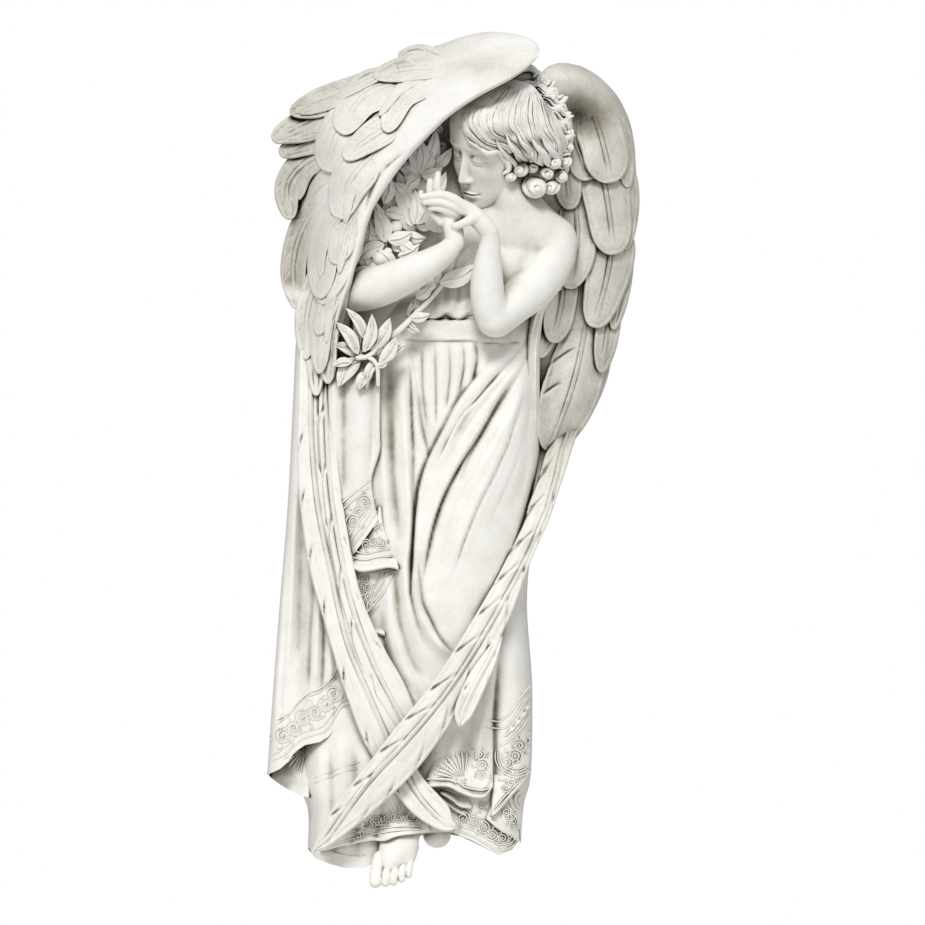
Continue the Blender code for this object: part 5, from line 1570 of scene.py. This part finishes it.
# Locks over the mass: path, half width. One with depths in its path hangs free.
locks = [
    ([(14, 170), (19, 159), (29, 153), (38, 147), (48, 148), (54, 141)], 3.5),
    ([(46, 152), (50, 144), (57, 138), (58, 130), (52, 126)], 3.6),
    ([(44, 166), (50, 152), (58, 143), (65, 135), (64, 126)], 3.4),
    ([(54, 172), (60, 156), (69, 147), (77, 139), (76, 130)], 3.8),
    ([(64, 176), (71, 159), (80, 149), (84, 138), (94, 130), (97, 119)], 4.2),
    ([(77, 174), (84, 157), (93, 147), (98, 138), (107, 130), (111, 120)], 4.2),
    ([(89, 170), (96, 154), (104, 146), (108, 138), (116, 133), (116, 125)], 4.0),
    ([(60, 160), (66, 146), (72, 134), (78, 125), (75, 116)], 3.6),
    ([(52, 216, 100), (68, 222, 96), (82, 222, 92), (94, 212, 90), (98, 200, 90)], 11.0),
    ([(86, 216, 84), (102, 206, 84), (110, 190, 84), (113, 170, 86), (113, 150, 90), (106, 132, 94)], 11.0),
    ([(62, 219, 104), (69, 228, 102), (79, 232, 98), (86, 227, 97), (83, 221, 99)], 4.0),
]
# Runs of wavy locks that hang free: the line where they leave the mass, the line where they end,
# how many, half width, how far they waver and how often.
runs = [
    ([(70, 217, 106), (84, 214, 110), (92, 204, 113), (95, 192, 117), (96, 178, 120), (96, 164, 121),
      (95, 154, 120)],
     [(97, 222, 97), (110, 206, 97), (118, 192, 96), (121, 178, 97), (122, 164, 98), (119, 148, 101),
      (110, 130, 104)],
     17, 3.4, 2.6, 1.6),
]
# Ringlets: x, z, radius, side the tail comes from in degrees, turn direction, how far out.
curls = [(84, 114, 14.0, 100, 1, 112), (102, 114, 11.0, 60, -1, 107), (61, 124, 7.0, 100, -1, 121),
         (95, 128, 9.0, 100, 1, 111), (71, 131, 8.5, 150, -1, 117), (111, 124, 8.0, 60, 1, 105),
         (82, 133, 8.0, 120, 1, 115), (116, 139, 7.5, 120, -1, 103), (104, 138, 7.5, 120, 1, 109),
         (119, 153, 5.0, 80, 1, 102), (120, 168, 5.0, 150, -1, 100), (117, 184, 5.0, 60, 1, 99),
         (101, 203, 5.5, 200, 1, 104), (109, 197, 4.5, 100, 1, 100), (90, 221, 5.0, 240, 1, 101),
         (-14, 172, 9.0, 120, 1, 92), (-22, 160, 9.0, 90, -1, 92), (-10, 154, 8.0, 130, 1, 92),
         (-20, 144, 8.0, 90, 1, 92)]


# Mass of combed hair: a surface lofted through the guides, on the head or its own dome, whichever
# stands further out, with broad clumps |sin|^0.8 and fine strands that waver along their length.
def buildHairMass():
    rows, cols = hair["rows"], hair["columns"]
    guides = np.array([smoothPath(path, rows) for path in hair["guides"]])
    u = np.linspace(0, len(guides) - 1, cols)
    order = np.arange(len(guides))
    front = np.zeros((cols, rows, 2))
    for k in range(2):
        for r in range(rows):
            front[:, r, k] = course(np.column_stack([order, guides[:, r, k]]), u)[0]
    x, z = front[..., 0], front[..., 1]
    cx, cz, halfX, halfZ, high = hair["dome"]
    inside = 1 - ((x - cx) / halfX) ** 2 - ((z - cz) / halfZ) ** 2
    dome = hair["domeOut"] + high * np.sqrt(np.maximum(inside, 0))
    base = np.maximum(dome, bedAt(x, z) + 2.0)
    for _ in range(hair["smoothing"]):
        base[1:-1, 1:-1] = (base[:-2, 1:-1] + base[2:, 1:-1] + base[1:-1, :-2] + base[1:-1, 2:]) / 4
    share = (u / (len(guides) - 1))[:, None]
    v = np.linspace(0, 1, rows)[None, :]
    waving = ease((v - 0.42) / 0.3)
    swing = v * 22 + share * 20
    waver = share + 0.007 * np.sin(v * 15 + share * 9) * ease(v * 2) + 0.002 * np.sin(v * 33 + share * 31)
    waver = waver + 0.016 * waving * np.sin(swing)
    clumps, seconds, strands = (hair[key][0] * math.pi for key in ("clumps", "second", "strands"))
    clumpRise, secondRise, strandRise = (hair[key][1] for key in ("clumps", "second", "strands"))
    clump = np.abs(np.sin(clumps * (waver + 0.02 * np.sin(v * 6)))) ** 0.8
    second = np.abs(np.sin(seconds * (waver + 0.004 * np.sin(v * 11 + 1)))) ** 0.8
    strand = np.abs(np.sin(strands * waver))
    parted = ease(v * 6) * (0.35 + 0.65 * v)
    rise = clumpRise * clump * parted + secondRise * second * ease(v * 5)
    rise = rise + strandRise * strand * ease(v * 8)
    rise = rise + waving * (2.2 * np.sin(swing + 1.3) + 1.2 * clump)
    rim = np.minimum(share, 1 - share) * (cols / 1.1)
    out = base + rise - 5.0 * np.exp(-rim / 2.2) - 3.0 * (1 - ease((1 - v) * 12)) + 1.5
    skin = np.dstack([x, z, out, waver * 110])
    back = skin[:, columnsBack(rows, 10)].copy()
    back[..., 2] = np.maximum(back[..., 2] - hair["hang"][0], hair["hang"][1])
    layDown(skin)
    settle(1)
    return closed(skin, back)


# A lock on the bed, or where its path says: a raised roll with grooves along it that twist a little.
def lock(path, half):
    rise, buried, strands = hair["lockRise"], hair["lockBuried"], hair["lockStrands"]
    rows = int(pathLength(path)) + 6
    line = smoothPath(path, rows)
    shares = np.linspace(0, 1, rows)
    grown = ease(shares * 1.5)
    lifted = -buried + (buried + hair["lockLift"]) * grown + rise * 0.4 * np.sin(shares * math.pi)
    spine = line if line.shape[1] == 3 else bedded(line, lifted)
    width = half * (0.12 + 0.88 * grown) * np.maximum(1 - shares**4, 0) ** 0.5 + 0.2

    def relief(run, offset, t, edge, left):
        roll = rise * np.sqrt(np.maximum(1 - t**2, 0)) * ease(run / 8) * ease(left / 5 + 0.2)
        cut = 1 - np.abs(np.sin(math.pi * strands * (t * 0.5 + 0.5) + run * 0.06)) ** 0.7
        return roll - hair["lockGroove"] * (cut * ease(left / 6) * ease(run / 4))

    return vane(spine, width, width, hair["lockThick"], relief, camber=0.15 if half < 8 else 0.5,
                spacing=1.0,
                edgeDrop=0.0, comb=lambda run, offset: offset / 1.1 + 0.4 * np.sin(run / 6.0))[1]


# A ringlet: a rope that comes in on a long tail and winds inwards, each turn a little prouder,
# to a ball in the middle; strands run round it.
def curl(x, z, radius, tail, way, out):
    turns = hair["curlTurns"]
    s = np.linspace(0, 1, int(19 * turns))
    wound = s * turns * 2 * math.pi
    reach = radius * (0.06 + 0.64 * (1 - s))
    angle = math.radians(tail) + way * wound
    thick = radius * (0.38 - 0.12 * s) * (0.5 + 0.5 * ease(s * 4.0))
    sunk = -6.0 * (1 - ease(s * 4.0))
    lean = radius * s * hair["curlLean"]
    centre = np.column_stack([x + reach * np.cos(angle) + lean * way,
                              z + 0.86 * reach * np.sin(angle) - lean,
                              out + sunk + radius * 0.75 * s])
    turn = np.linspace(0, 2 * math.pi, 12, endpoint=False)[None, :, None]
    ripple = 1 - 0.14 * np.abs(np.cos(3 * turn + 3 * s[:, None, None])) ** 3
    size = (thick * np.sqrt(np.maximum(1 - s**10, 0.02)))[:, None, None] * ripple
    aside = radius * hair["curlLean"]
    return merged([roundTube(centre, size, turn),
                   ball(x + way * aside, z - aside, out + radius * 0.7, radius * 0.26, 8, 10),
                   ball(x, z, out - radius * 0.4, radius * 0.72, 8, 14)])


# The wavy locks of one run, spread between its two lines and carried downwards as they go.
def wavyLocks(leave, reach, count, half, waver, often):
    starts, ends = smoothPath(leave, count), smoothPath(reach, count)
    parts = []
    for k, (a, b) in enumerate(zip(starts, ends)):
        s = np.linspace(0, 1, 13)[:, None]
        sag = ends[min(k + 1, count - 1)] - starts[k]
        path = a + (b - a) * s + 0.25 * (sag - (b - a)) * np.sin(s * math.pi)
        across = np.array([-(b - a)[1], (b - a)[0]]) / np.linalg.norm((b - a)[:2])
        hook = 1.6 * waver * (1 if k % 3 else -1) * ease((s - 0.72) / 0.28)
        path[:, :2] += across * (waver * np.sin(often * 2 * math.pi * s + 2.1 * k) * (0.4 + 0.6 * s) + hook)
        parts.append(lock(path, half * (1 + 0.25 * math.sin(3 * k))))
    return parts


def buildHair():
    makePiece("hairMass", [buildHairMass()])
    parts = [lock(path, half) for path, half in locks]
    for run in runs:
        parts += wavyLocks(*run)
    for k, (x, z, radius, tail, way, out) in enumerate(curls):
        if x > 40:                                          # those that lie on the hair and the head
            out = max(out, float(bedAt(x, z)) + radius * 0.2)
        parts.append(curl(x, z, radius * (1.05 + 0.12 * math.sin(5 * k)), tail + 25 * math.sin(7 * k), way,
                          out))
    # The locks are made paler: painted light against the shade they lie in.
    makePiece("hairLocks", parts, wash=-0.12)


buildHair()


laurel = {
    # root (x, z), tip (x, z), half width
    "leaves": [(-26, 96, -44, 122, 6), (-40, 44, -62, 66, 5.5), (-22, 100, -4, 128, 5),
               (-36, 96, -58, 118, 5), (-50, 86, -72, 108, 5.5), (-48, 96, -52, 128, 5.5),
               (-70, 60, -76, 100, 5.5), (-52, 44, -30, 56, 4.5), (-34, 108, -48, 140, 5.5),
               (-18, 132, 2, 152, 5), (-24, 140, -14, 170, 5), (-84, -40, -104, -8, 5.5),
               (-64, -50, -44, -44, 4.5), (-74, -60, -84, -84, 5), (-98, -62, -118, -66, 5),
               (-65, 58, -75, 90, 7.5), (-64, 60, -65, 99, 7), (-66, 58, -88, 66, 6),
               (-66, 56, -90, 40, 6.5), (-62, 60, -38, 68, 6.5), (-60, 62, -84, 80, 6),
               (-58, 56, -44, 52, 4.5), (-38, 74, -56, 111, 7.5), (-36, 76, -35, 110, 6.5),
               (-34, 74, -14, 82, 6), (-38, 72, -60, 94, 7), (-36, 76, -46, 112, 6.5),
               (-33, 76, -22, 104, 6), (-36, 70, -52, 78, 4.5), (-30, 125, -42, 152, 6.5),
               (-29, 126, -29, 160, 6), (-28, 124, -8, 132, 5.5), (-28, 122, -20, 112, 5),
               (-30, 120, -50, 132, 6), (-29, 128, -17, 148, 5.5), (-30, 122, -44, 108, 5),
               (-32, 124, -38, 140, 5), (-90, -54, -96, -12, 7.5), (-80, -50, -60, -18, 8),
               (-70, -62, -54, -37, 7), (-90, -58, -112, -87, 9), (-82, -72, -91, -90, 6.5),
               (-92, -54, -114, -22, 6.5), (-86, -52, -78, -14, 6.5), (-92, -56, -116, -44, 6),
               (-78, -56, -66, -30, 5), (-74, -66, -62, -60, 4), (-10, 17, 27, 36, 8), (-8, 20, 27, 58, 8.5),
               (-12, 20, 4, 54, 5), (-12, 18, -22, 40, 5), (-14, 14, -30, 10, 4.5),
               (-26, 132, -12, 162, 5.5), (-24, 118, -6, 112, 5), (-60, 36, -86, 22, 6),
               (-56, 32, -72, 50, 5.5), (-48, 36, -28, 44, 5.5), (-80, 30, -96, 50, 5.5),
               (-74, 24, -98, 28, 5.5), (-50, 60, -32, 48, 5.5), (-46, 66, -24, 62, 5.5),
               (-86, 50, -80, 80, 5), (-44, 84, -68, 86, 5.5), (-24, 84, -6, 68, 5), (-20, 90, -2, 92, 5),
               (-40, 140, -30, 168, 5), (-66, 96, -60, 124, 5), (-40, -17, -20, -14, 5.5),
               (-42, -16, -34, 4, 5), (-34, 2, -18, 14, 4.5), (-44, -22, -30, -32, 4)],
    # twigs: path (x, z, out), radius
    "twigs": [
        ([(-94, -58, 138), (-82, -56, 140), (-68, -44, 138), (-54, -33, 134), (-38, -18, 128),
          (-16, 6, 122), (-6, 18, 120)], 3.2),
        ([(-66, 40, 98), (-65, 56, 100), (-64, 62, 101)], 2.4),
        ([(-40, 60, 98), (-37, 70, 100), (-35, 78, 101)], 2.4),
        ([(-34, 100, 94), (-31, 116, 95), (-29, 128, 96)], 2.4),
        ([(-92, -55, 138), (-80, -58, 140), (-73, -66, 140), (-72, -86, 136)], 2.4),
        ([(-78, -74, 138), (-82, -80, 137), (-84, -88, 134)], 2.0),
    ],
    "berries": [(-70, 41, 8), (-54, 73, 6.5), (-40, 122, 6), (-62, 48, 4.5), (-26, 128, 4)],
    # how far out the sprays grow, each round its own (x, z)
    "floor": [(-55, 66, 97), (-30, 120, 93), (-80, -56, 129), (-40, -20, 116), (-16, 16, 108)],
    "thickness": 3.2,
    "armLine": -15,          # z between the leaves above and below the near arm
    # above and below the arm: how wide the leaves are against the list, and their painted tone: well
    # below zero above, painted light that lifts those leaves out of the hood's shade; a touch darker below
    "above": (1.15, -0.72),
    "below": (0.95, 0.02),
}


# Midrib groove with a raised spine, side veins, and a rim curled towards the viewer.
def leafRelief(run, offset, t, edge, left):
    away = np.abs(offset)
    vein = np.abs(np.sin(math.pi * (run - away * 0.8) / 4.4)) ** 0.6 - 0.8
    rise = 1.3 * bell(offset, 0.8) - 0.8 * bell(away - 1.7, 0.7)
    rise = (rise + 0.3 * vein * ease(away / 2) * ease(edge / 1.5)) * ease(run / 5)
    return rise + 1.1 * bell(edge, 1.4) * 0.6


# A pointed leaf: width sin(pi s^0.8)^0.8, rising from its root and nodding at its tip.
def leaf(x0, z0, x1, z1, half, out):
    dx, dz = x1 - x0, z1 - z0
    bend = 0.09 * (1 if (x0 * 7 + z1 * 3) % 2 > 1 else -1)
    path = [(x0, z0), ((x0 + x1) / 2 - dz * bend, (z0 + z1) / 2 + dx * bend), (x1, z1)]
    rows = int(pathLength(path) / 1.15) + 4
    s = np.linspace(0, 1, rows)
    line = smoothPath(path, rows)
    width = half * np.sin(math.pi * np.clip(s, 0.02, 0.985) ** 0.8) ** 0.8
    spine = np.column_stack([line[:, :2], out + 5.5 * np.sin(s * math.pi * 0.8) - 2.0 * s])
    front, part = vane(spine, width, width, laurel["thickness"], leafRelief, camber=0.28, spacing=1.15,
                       edgeDrop=0.3)
    layDown(front)
    return part


# A round twig along a path, a little thinner towards its ends.
def twig(path, radius):
    rows = int(pathLength(path) / 1.8) + 3
    turn = np.linspace(0, 2 * math.pi, 12, endpoint=False)[None, :, None]
    taper = np.sqrt(np.sin(np.clip(np.linspace(0.04, 0.96, rows), 0, 1) * math.pi)) * 0.35 + 0.65
    return roundTube(smoothPath(path, rows), (radius * taper)[:, None, None], turn)


# How far out the spray nearest to (x, z) grows.
def sprayOut(x, z):
    return min(laurel["floor"], key=lambda spot: math.hypot(spot[0] - x, spot[1] - z))[2]


# The leaves either above or below the near arm, with their twigs and berries.
def buildLaurel(name, side):
    wide, wash = laurel[side]

    def here(z):
        return (z < laurel["armLine"]) == (side == "below")

    parts = [leaf(x0, z0, x1, z1, half * wide, sprayOut(x0, z0) + 6.0 + 3.0 * (k % 4))
             for k, (x0, z0, x1, z1, half) in enumerate(laurel["leaves"]) if here(z0)]
    parts += [twig(path, radius) for path, radius in laurel["twigs"] if here(path[0][1])]
    parts += [ball(x, z, sprayOut(x, z) + 9 + radius * 0.4, radius) for x, z,
              radius in laurel["berries"] if here(z)]
    settle(1)
    makePiece(name, parts, wash=wash)


buildLaurel("laurelUpper", "above")


buildNearWing()
buildCloakPieces()
buildLaurel("laurelLower", "below")
# The crossing feather and the near coverts are made a little darker all over.
makePiece("crossingFeather", [longFeather(longFeathers.pop("crossing"))], wash=0.05)
makePiece("longFeathers", [longFeather(made) for made in longFeathers.values()])
settle(2)
# A little darker all over.
makePiece("nearCoverts", [covert(*made) for made in nearCoverts], wash=0.06)


trim = {
    # cast lines along the hems: path (x, z), radius
    "lines": [
        ([(-112, -366), (-118, -377), (-130, -388), (-142, -393), (-152, -402), (-160, -412), (-170, -418),
          (-177, -422)], 1.0),
        ([(-112, -373), (-118, -381), (-130, -392), (-145, -398), (-155, -408), (-165, -418),
          (-176, -426)], 0.7),
        ([(-101, -402), (-110, -409), (-118, -422), (-125, -431), (-137, -435), (-148, -439), (-158, -448),
          (-168, -456), (-179, -461)], 0.9),
        ([(-103, -397), (-111, -405), (-120, -417), (-127, -426), (-138, -430), (-150, -434), (-160, -443),
          (-170, -451), (-178, -455)], 0.7),
        ([(-108, -203), (-95, -192), (-78, -178)], 0.9), ([(-107, -209), (-95, -199), (-78.5, -185)], 0.8),
        ([(-101, -235), (-91, -222), (-76, -200)], 0.8), ([(-99, -240), (-89, -227), (-75, -206)], 0.8),
        ([(-97, -246), (-87, -232), (-73, -211)], 0.9),
        ([(-95, -251), (-84, -254), (-72, -251), (-60, -249)], 0.8),
        ([(-98, -257), (-86, -260), (-72, -257), (-57, -256)], 0.9),
        ([(-62, -272), (-70, -288), (-84, -306)], 0.8), ([(-67, -272), (-76, -288), (-87, -301)], 0.7),
        ([(-57, -274), (-66, -292), (-84, -313)], 0.9),
        ([(81, -385), (70, -398), (61, -412), (50, -421), (38, -420)], 0.9),
        ([(81, -393), (72, -405), (64, -418), (54, -428), (36, -427)], 0.8),
        ([(79, -414), (73, -426), (62, -438), (50, -447)], 0.9),
        ([(48, -480), (60, -480), (74, -475)], 0.8),
        ([(-24, -479), (-10, -479.5), (0, -480), (8, -482), (15, -487), (30, -490), (38, -489)], 0.9),
        ([(-104, -536), (-80, -530), (-55, -527), (-30, -526)], 0.8),
        ([(-106, -541), (-80, -535), (-55, -531), (-28, -529)], 0.6),
        ([(6, -526), (20, -529), (34, -536), (48, -544), (60, -543), (67, -536)], 0.8),
        ([(4, -530), (20, -535), (34, -543), (49, -550), (61, -547), (68, -538)], 0.8),
        ([(44, -509), (56, -495), (69, -481)], 0.8), ([(42, -513), (56, -499), (71, -484)], 0.6),
        ([(-136, -478), (-120, -472), (-104, -466), (-90, -462)], 0.5),
        ([(-136, -483), (-120, -477), (-104, -471), (-92, -468)], 0.5),
        ([(-118, -552), (-100, -556), (-84, -555)], 0.6),
    ],
    # twisted cords: path, radius
    "ropes": [([(79, -404), (73, -415), (64, -427), (54, -436)], 1.4)],
    # bands filled with running scrolls: middle line, half width, how many
    "bands": [
        ([(-112, -388), (-124, -404), (-137, -413), (-149, -419), (-158, -429), (-167, -436),
          (-172, -440)], 9.0, 6),
        ([(-99, -226), (-92, -213), (-83, -197)], 7.5, 3),
        ([(-88, -246), (-77, -242), (-65, -245)], 5.5, 3), ([(-76, -232), (-70, -222)], 4.0, 1),
        ([(-86, -276), (-82, -288), (-81, -300)], 5.0, 3),
        ([(52, -466), (61, -460), (67, -451), (71, -441)], 7.5, 3),
        ([(52, -492), (60, -484), (68, -472)], 4.0, 3),
        ([(-14, -471), (0, -468), (6, -468)], 5.0, 2), ([(30, -480), (32, -466), (28, -450)], 6.5, 3),
        ([(18, -484), (10, -482), (2, -478)], 3.2, 2),
        ([(8, -517), (22, -520), (34, -528), (46, -537), (58, -538)], 6.5, 5),
        ([(54, -510), (60, -516), (64, -525)], 4.5, 3), ([(26, -504), (36, -509)], 4.5, 1),
        ([(-90, -526), (-74, -520), (-58, -518), (-44, -517), (-34, -517)], 5.0, 5),
    ],
    # fans of ribs: centre (x, z), from and to angle in degrees, inner and outer reach, ribs
    "fans": [
        (12, -481, 72, 168, 5, 30, 10), (-142, -448, 196, 246, 8, 26, 6), (-84, -316, 30, 95, 5, 17, 5),
    ],
    # nested arcs: centre (x, z), first and last radius, from and to angle in degrees, arcs
    "arcs": [
        (66, -456, 13, 21, 165, 320, 4), (74, -500, 6, 14, 110, 240, 3),
    ],
    # short ticks of fringe below the crossing feather: first and last (x, z), how many, length
    "fringe": ((-52, -503), (-96, -537), 16, 8.0),
    "sunk": 0.15,            # radii that a line's middle stands above the cloth
    "bulge": 1.1,            # its height for its width
    "twist": (0.35, 0.9),    # a cord's strands: rise for its radius, turn from row to row
    "scroll": (2.0, 0.82, 0.8),    # turns of a spiral, how far it closes, radius of its line
    "petal": (0.42, 0.3, 0.75),    # curl beside it: reach for its band's half width, closing, radius
}


# A cast line on the bed: half of it is sunk, so only a bead shows.
def bead(path, radius, twist=0.0, points=6, swell=0.0):
    rows = max(4, int(pathLength(path) / max(1.3, radius * 0.8)))
    line = smoothPath(path, rows)
    out = bedAt(line[:, 0], line[:, 1])
    for _ in range(2 + int(radius)):
        out[1:-1] = (out[:-2] + 2 * out[1:-1] + out[2:]) / 4
    _, across = waysOf(line)
    turn = np.linspace(0, 2 * math.pi, points, endpoint=False)[None, :]
    step = np.arange(rows)[:, None]
    size = radius * (1 + (trim["twist"][0] * np.sin(2 * turn + step * twist) if twist else 0))
    ends = np.sqrt(np.clip(np.minimum(step, step[::-1]) / (1.5 + radius) + 0.12, 0, 1))
    size = size * ends * (1 - swell * np.linspace(1, 0, rows)[:, None])
    flat = line[:, None, :2] + across[:, None, :] * (size * np.cos(turn))[..., None]
    rise = size * trim["bulge"] * np.sin(turn)
    return tube(np.dstack([flat, out[:, None] + trim["sunk"] * radius + rise]))


# Points of an arc between two angles whose radius shrinks by the given share.
def arcPath(x, z, radius, first, last, closing=0.0, count=10):
    s = np.linspace(0, 1, count)
    angle = first + (last - first) * s
    return np.column_stack([x + radius * (1 - closing * s) * np.cos(angle),
                            z + radius * (1 - closing * s) * np.sin(angle)])


# Running scrolls along a band: spirals turned one way and the other, each with a round eye and
# three small curls off its back.
def scrollBand(path, half, count):
    parts = []
    line = smoothPath(path, shares=(np.arange(count) + 0.5) / count)
    along = waysOf(line)[0] if count > 1 else np.array([[1.0, 0.0]])
    turns, closing, radius = trim["scroll"]
    reach, shut, thin = trim["petal"]
    for k, ((x, z), (ax, az)) in enumerate(zip(line[:, :2], along)):
        side = 1 if k % 2 else -1
        start = math.atan2(az, ax) - side * 2.2
        spiral = arcPath(x, z, half, start, start + side * turns * 2 * math.pi, closing, int(12 + half * 2))
        parts.append(bead(spiral, radius))
        parts.append(ball(x, z, float(bedAt(x, z)) + 0.2, max(0.16 * half, 0.9), 6, 8))
        for turn in (0.3, 1.3, 2.3):
            angle = start + side * (1.2 + turn * 1.1)
            px, pz = x + half * 0.86 * math.cos(angle), z + half * 0.86 * math.sin(angle)
            px, pz = px + 0.36 * half * math.cos(angle), pz + 0.36 * half * math.sin(angle)
            petal = arcPath(px, pz, half * reach, angle + side * 2.4, angle - side * 0.6, shut, 7)
            parts.append(bead(petal, thin))
    return parts


def buildTrim():
    parts = [bead(path, radius) for path, radius in trim["lines"]]
    parts += [bead(path, radius, trim["twist"][1], 8) for path, radius in trim["ropes"]]
    for path, half, count in trim["bands"]:
        parts += scrollBand(path, half, count)
    for x, z, first, last, near, far, ribs in trim["fans"]:
        for angle in np.radians(np.linspace(first, last, ribs)):
            rib = [(x + r * math.cos(angle + 0.05 * k), z + r * math.sin(angle + 0.05 * k))
                   for k, r in enumerate(np.linspace(near, far, 4))]
            parts.append(bead(rib, 0.045 * far, swell=0.5))
    for x, z, small, large, first, last, count in trim["arcs"]:
        parts += [bead(arcPath(x, z, radius, math.radians(first), math.radians(last)), 0.7)
                  for radius in np.linspace(small, large, count)]
    (x0, z0), (x1, z1), count, length = trim["fringe"]
    for s in np.linspace(0, 1, count):
        x, z = x0 + (x1 - x0) * s, z0 + (z1 - z0) * s
        parts.append(bead([(x, z), (x + 1.5, z - length * 0.5), (x + 0.5, z - length)], 0.9))
    makePiece("trim", parts)


buildTrim()


stage = {
    "floor": "#EDEDEA",
    "cloud": "#E6E6E2",
    "floorDrop": 0.16,       # metres from the lowest point down to the floor
    "floorHalf": 1.6,
    "roughness": 0.9,
}
studio = {
    "key": 2.0,              # strength of the large lamp, high in front
    "keyFrom": (-0.3, -3.0, 2.6),
    "keySoftness": 16.0,     # degrees across
    "ambient": 0.5,          # white surroundings, as light
    "sensor": 36.0,          # mm
}


# Pale floor in two close greys.
def buildStage():
    low = cadBox[0][2] - stage["floorDrop"]
    half = stage["floorHalf"]
    mesh = bpy.data.meshes.new("floor")
    corners = [(-half, -half, low), (half, -half, low), (half, half, low), (-half, half, low)]
    mesh.from_pydata(corners, [], [(0, 1, 2, 3)])
    floor = bpy.data.objects.new("floor", mesh)
    bpy.context.scene.collection.objects.link(floor)
    material = bpy.data.materials.new("paleFloor")
    material.use_nodes = True
    tree = material.node_tree
    addNode(tree, "place", "ShaderNodeTexCoord")
    addNode(tree, "clouds", "ShaderNodeTexNoise", links={"Vector": "place.Object"},
            values={"Scale": 2.0, "Detail": 2.0})
    mix = addNode(tree, "greys", "ShaderNodeMix", {"data_type": "RGBA"}, {0: "clouds.Fac"},
                  {6: linearColour(stage["floor"]), 7: linearColour(stage["cloud"])})
    tree.links.new(mix.outputs[2], tree.nodes["Principled BSDF"].inputs["Base Color"])
    tree.nodes["Principled BSDF"].inputs["Roughness"].default_value = stage["roughness"]
    mesh.materials.append(material)


# One soft lamp, as wide as a large window, and surroundings that the camera sees as white but
# that light the casting less, so the lamp still models the folds.
def buildLight():
    light = bpy.data.lights.new("keyLight", "SUN")
    light.energy = studio["key"]
    light.angle = math.radians(studio["keySoftness"])
    lamp = bpy.data.objects.new("keyLight", light)
    lamp.location = studio["keyFrom"]
    aim = -np.array(studio["keyFrom"])
    lamp.rotation_euler = (math.atan2(math.hypot(aim[0], aim[1]), -aim[2]), 0, math.atan2(-aim[0], aim[1]))
    bpy.context.scene.collection.objects.link(lamp)
    world = bpy.data.worlds.new("studio")
    bpy.context.scene.world = world
    world.use_nodes = True
    tree = world.node_tree
    addNode(tree, "seen", "ShaderNodeLightPath")
    strength = addNode(tree, "strength", "ShaderNodeMapRange", links={"Value": "seen.Is Camera Ray"},
                       values={"To Min": studio["ambient"], "To Max": 1.0})
    tree.nodes["Background"].inputs["Color"].default_value = (1, 1, 1, 1)
    tree.links.new(strength.outputs[0], tree.nodes["Background"].inputs["Strength"])


# Long lens, straight on, with the given height of view at the wall.
def buildCamera():
    camera = bpy.data.cameras.new("camera")
    far = viewing["distance"] / 1000
    camera.sensor_width = studio["sensor"]
    camera.lens = studio["sensor"] * far / (viewing["height"] / 1000)
    camera.clip_end = 100.0
    seat = bpy.data.objects.new("camera", camera)
    seat.location = (viewing["centre"][0] / 1000, -far, viewing["centre"][1] / 1000)
    seat.rotation_euler = (math.pi / 2, 0, 0)
    bpy.context.scene.collection.objects.link(seat)
    bpy.context.scene.camera = seat


buildStage()
buildLight()
buildCamera()
bpy.context.scene.view_settings.view_transform = "Standard"
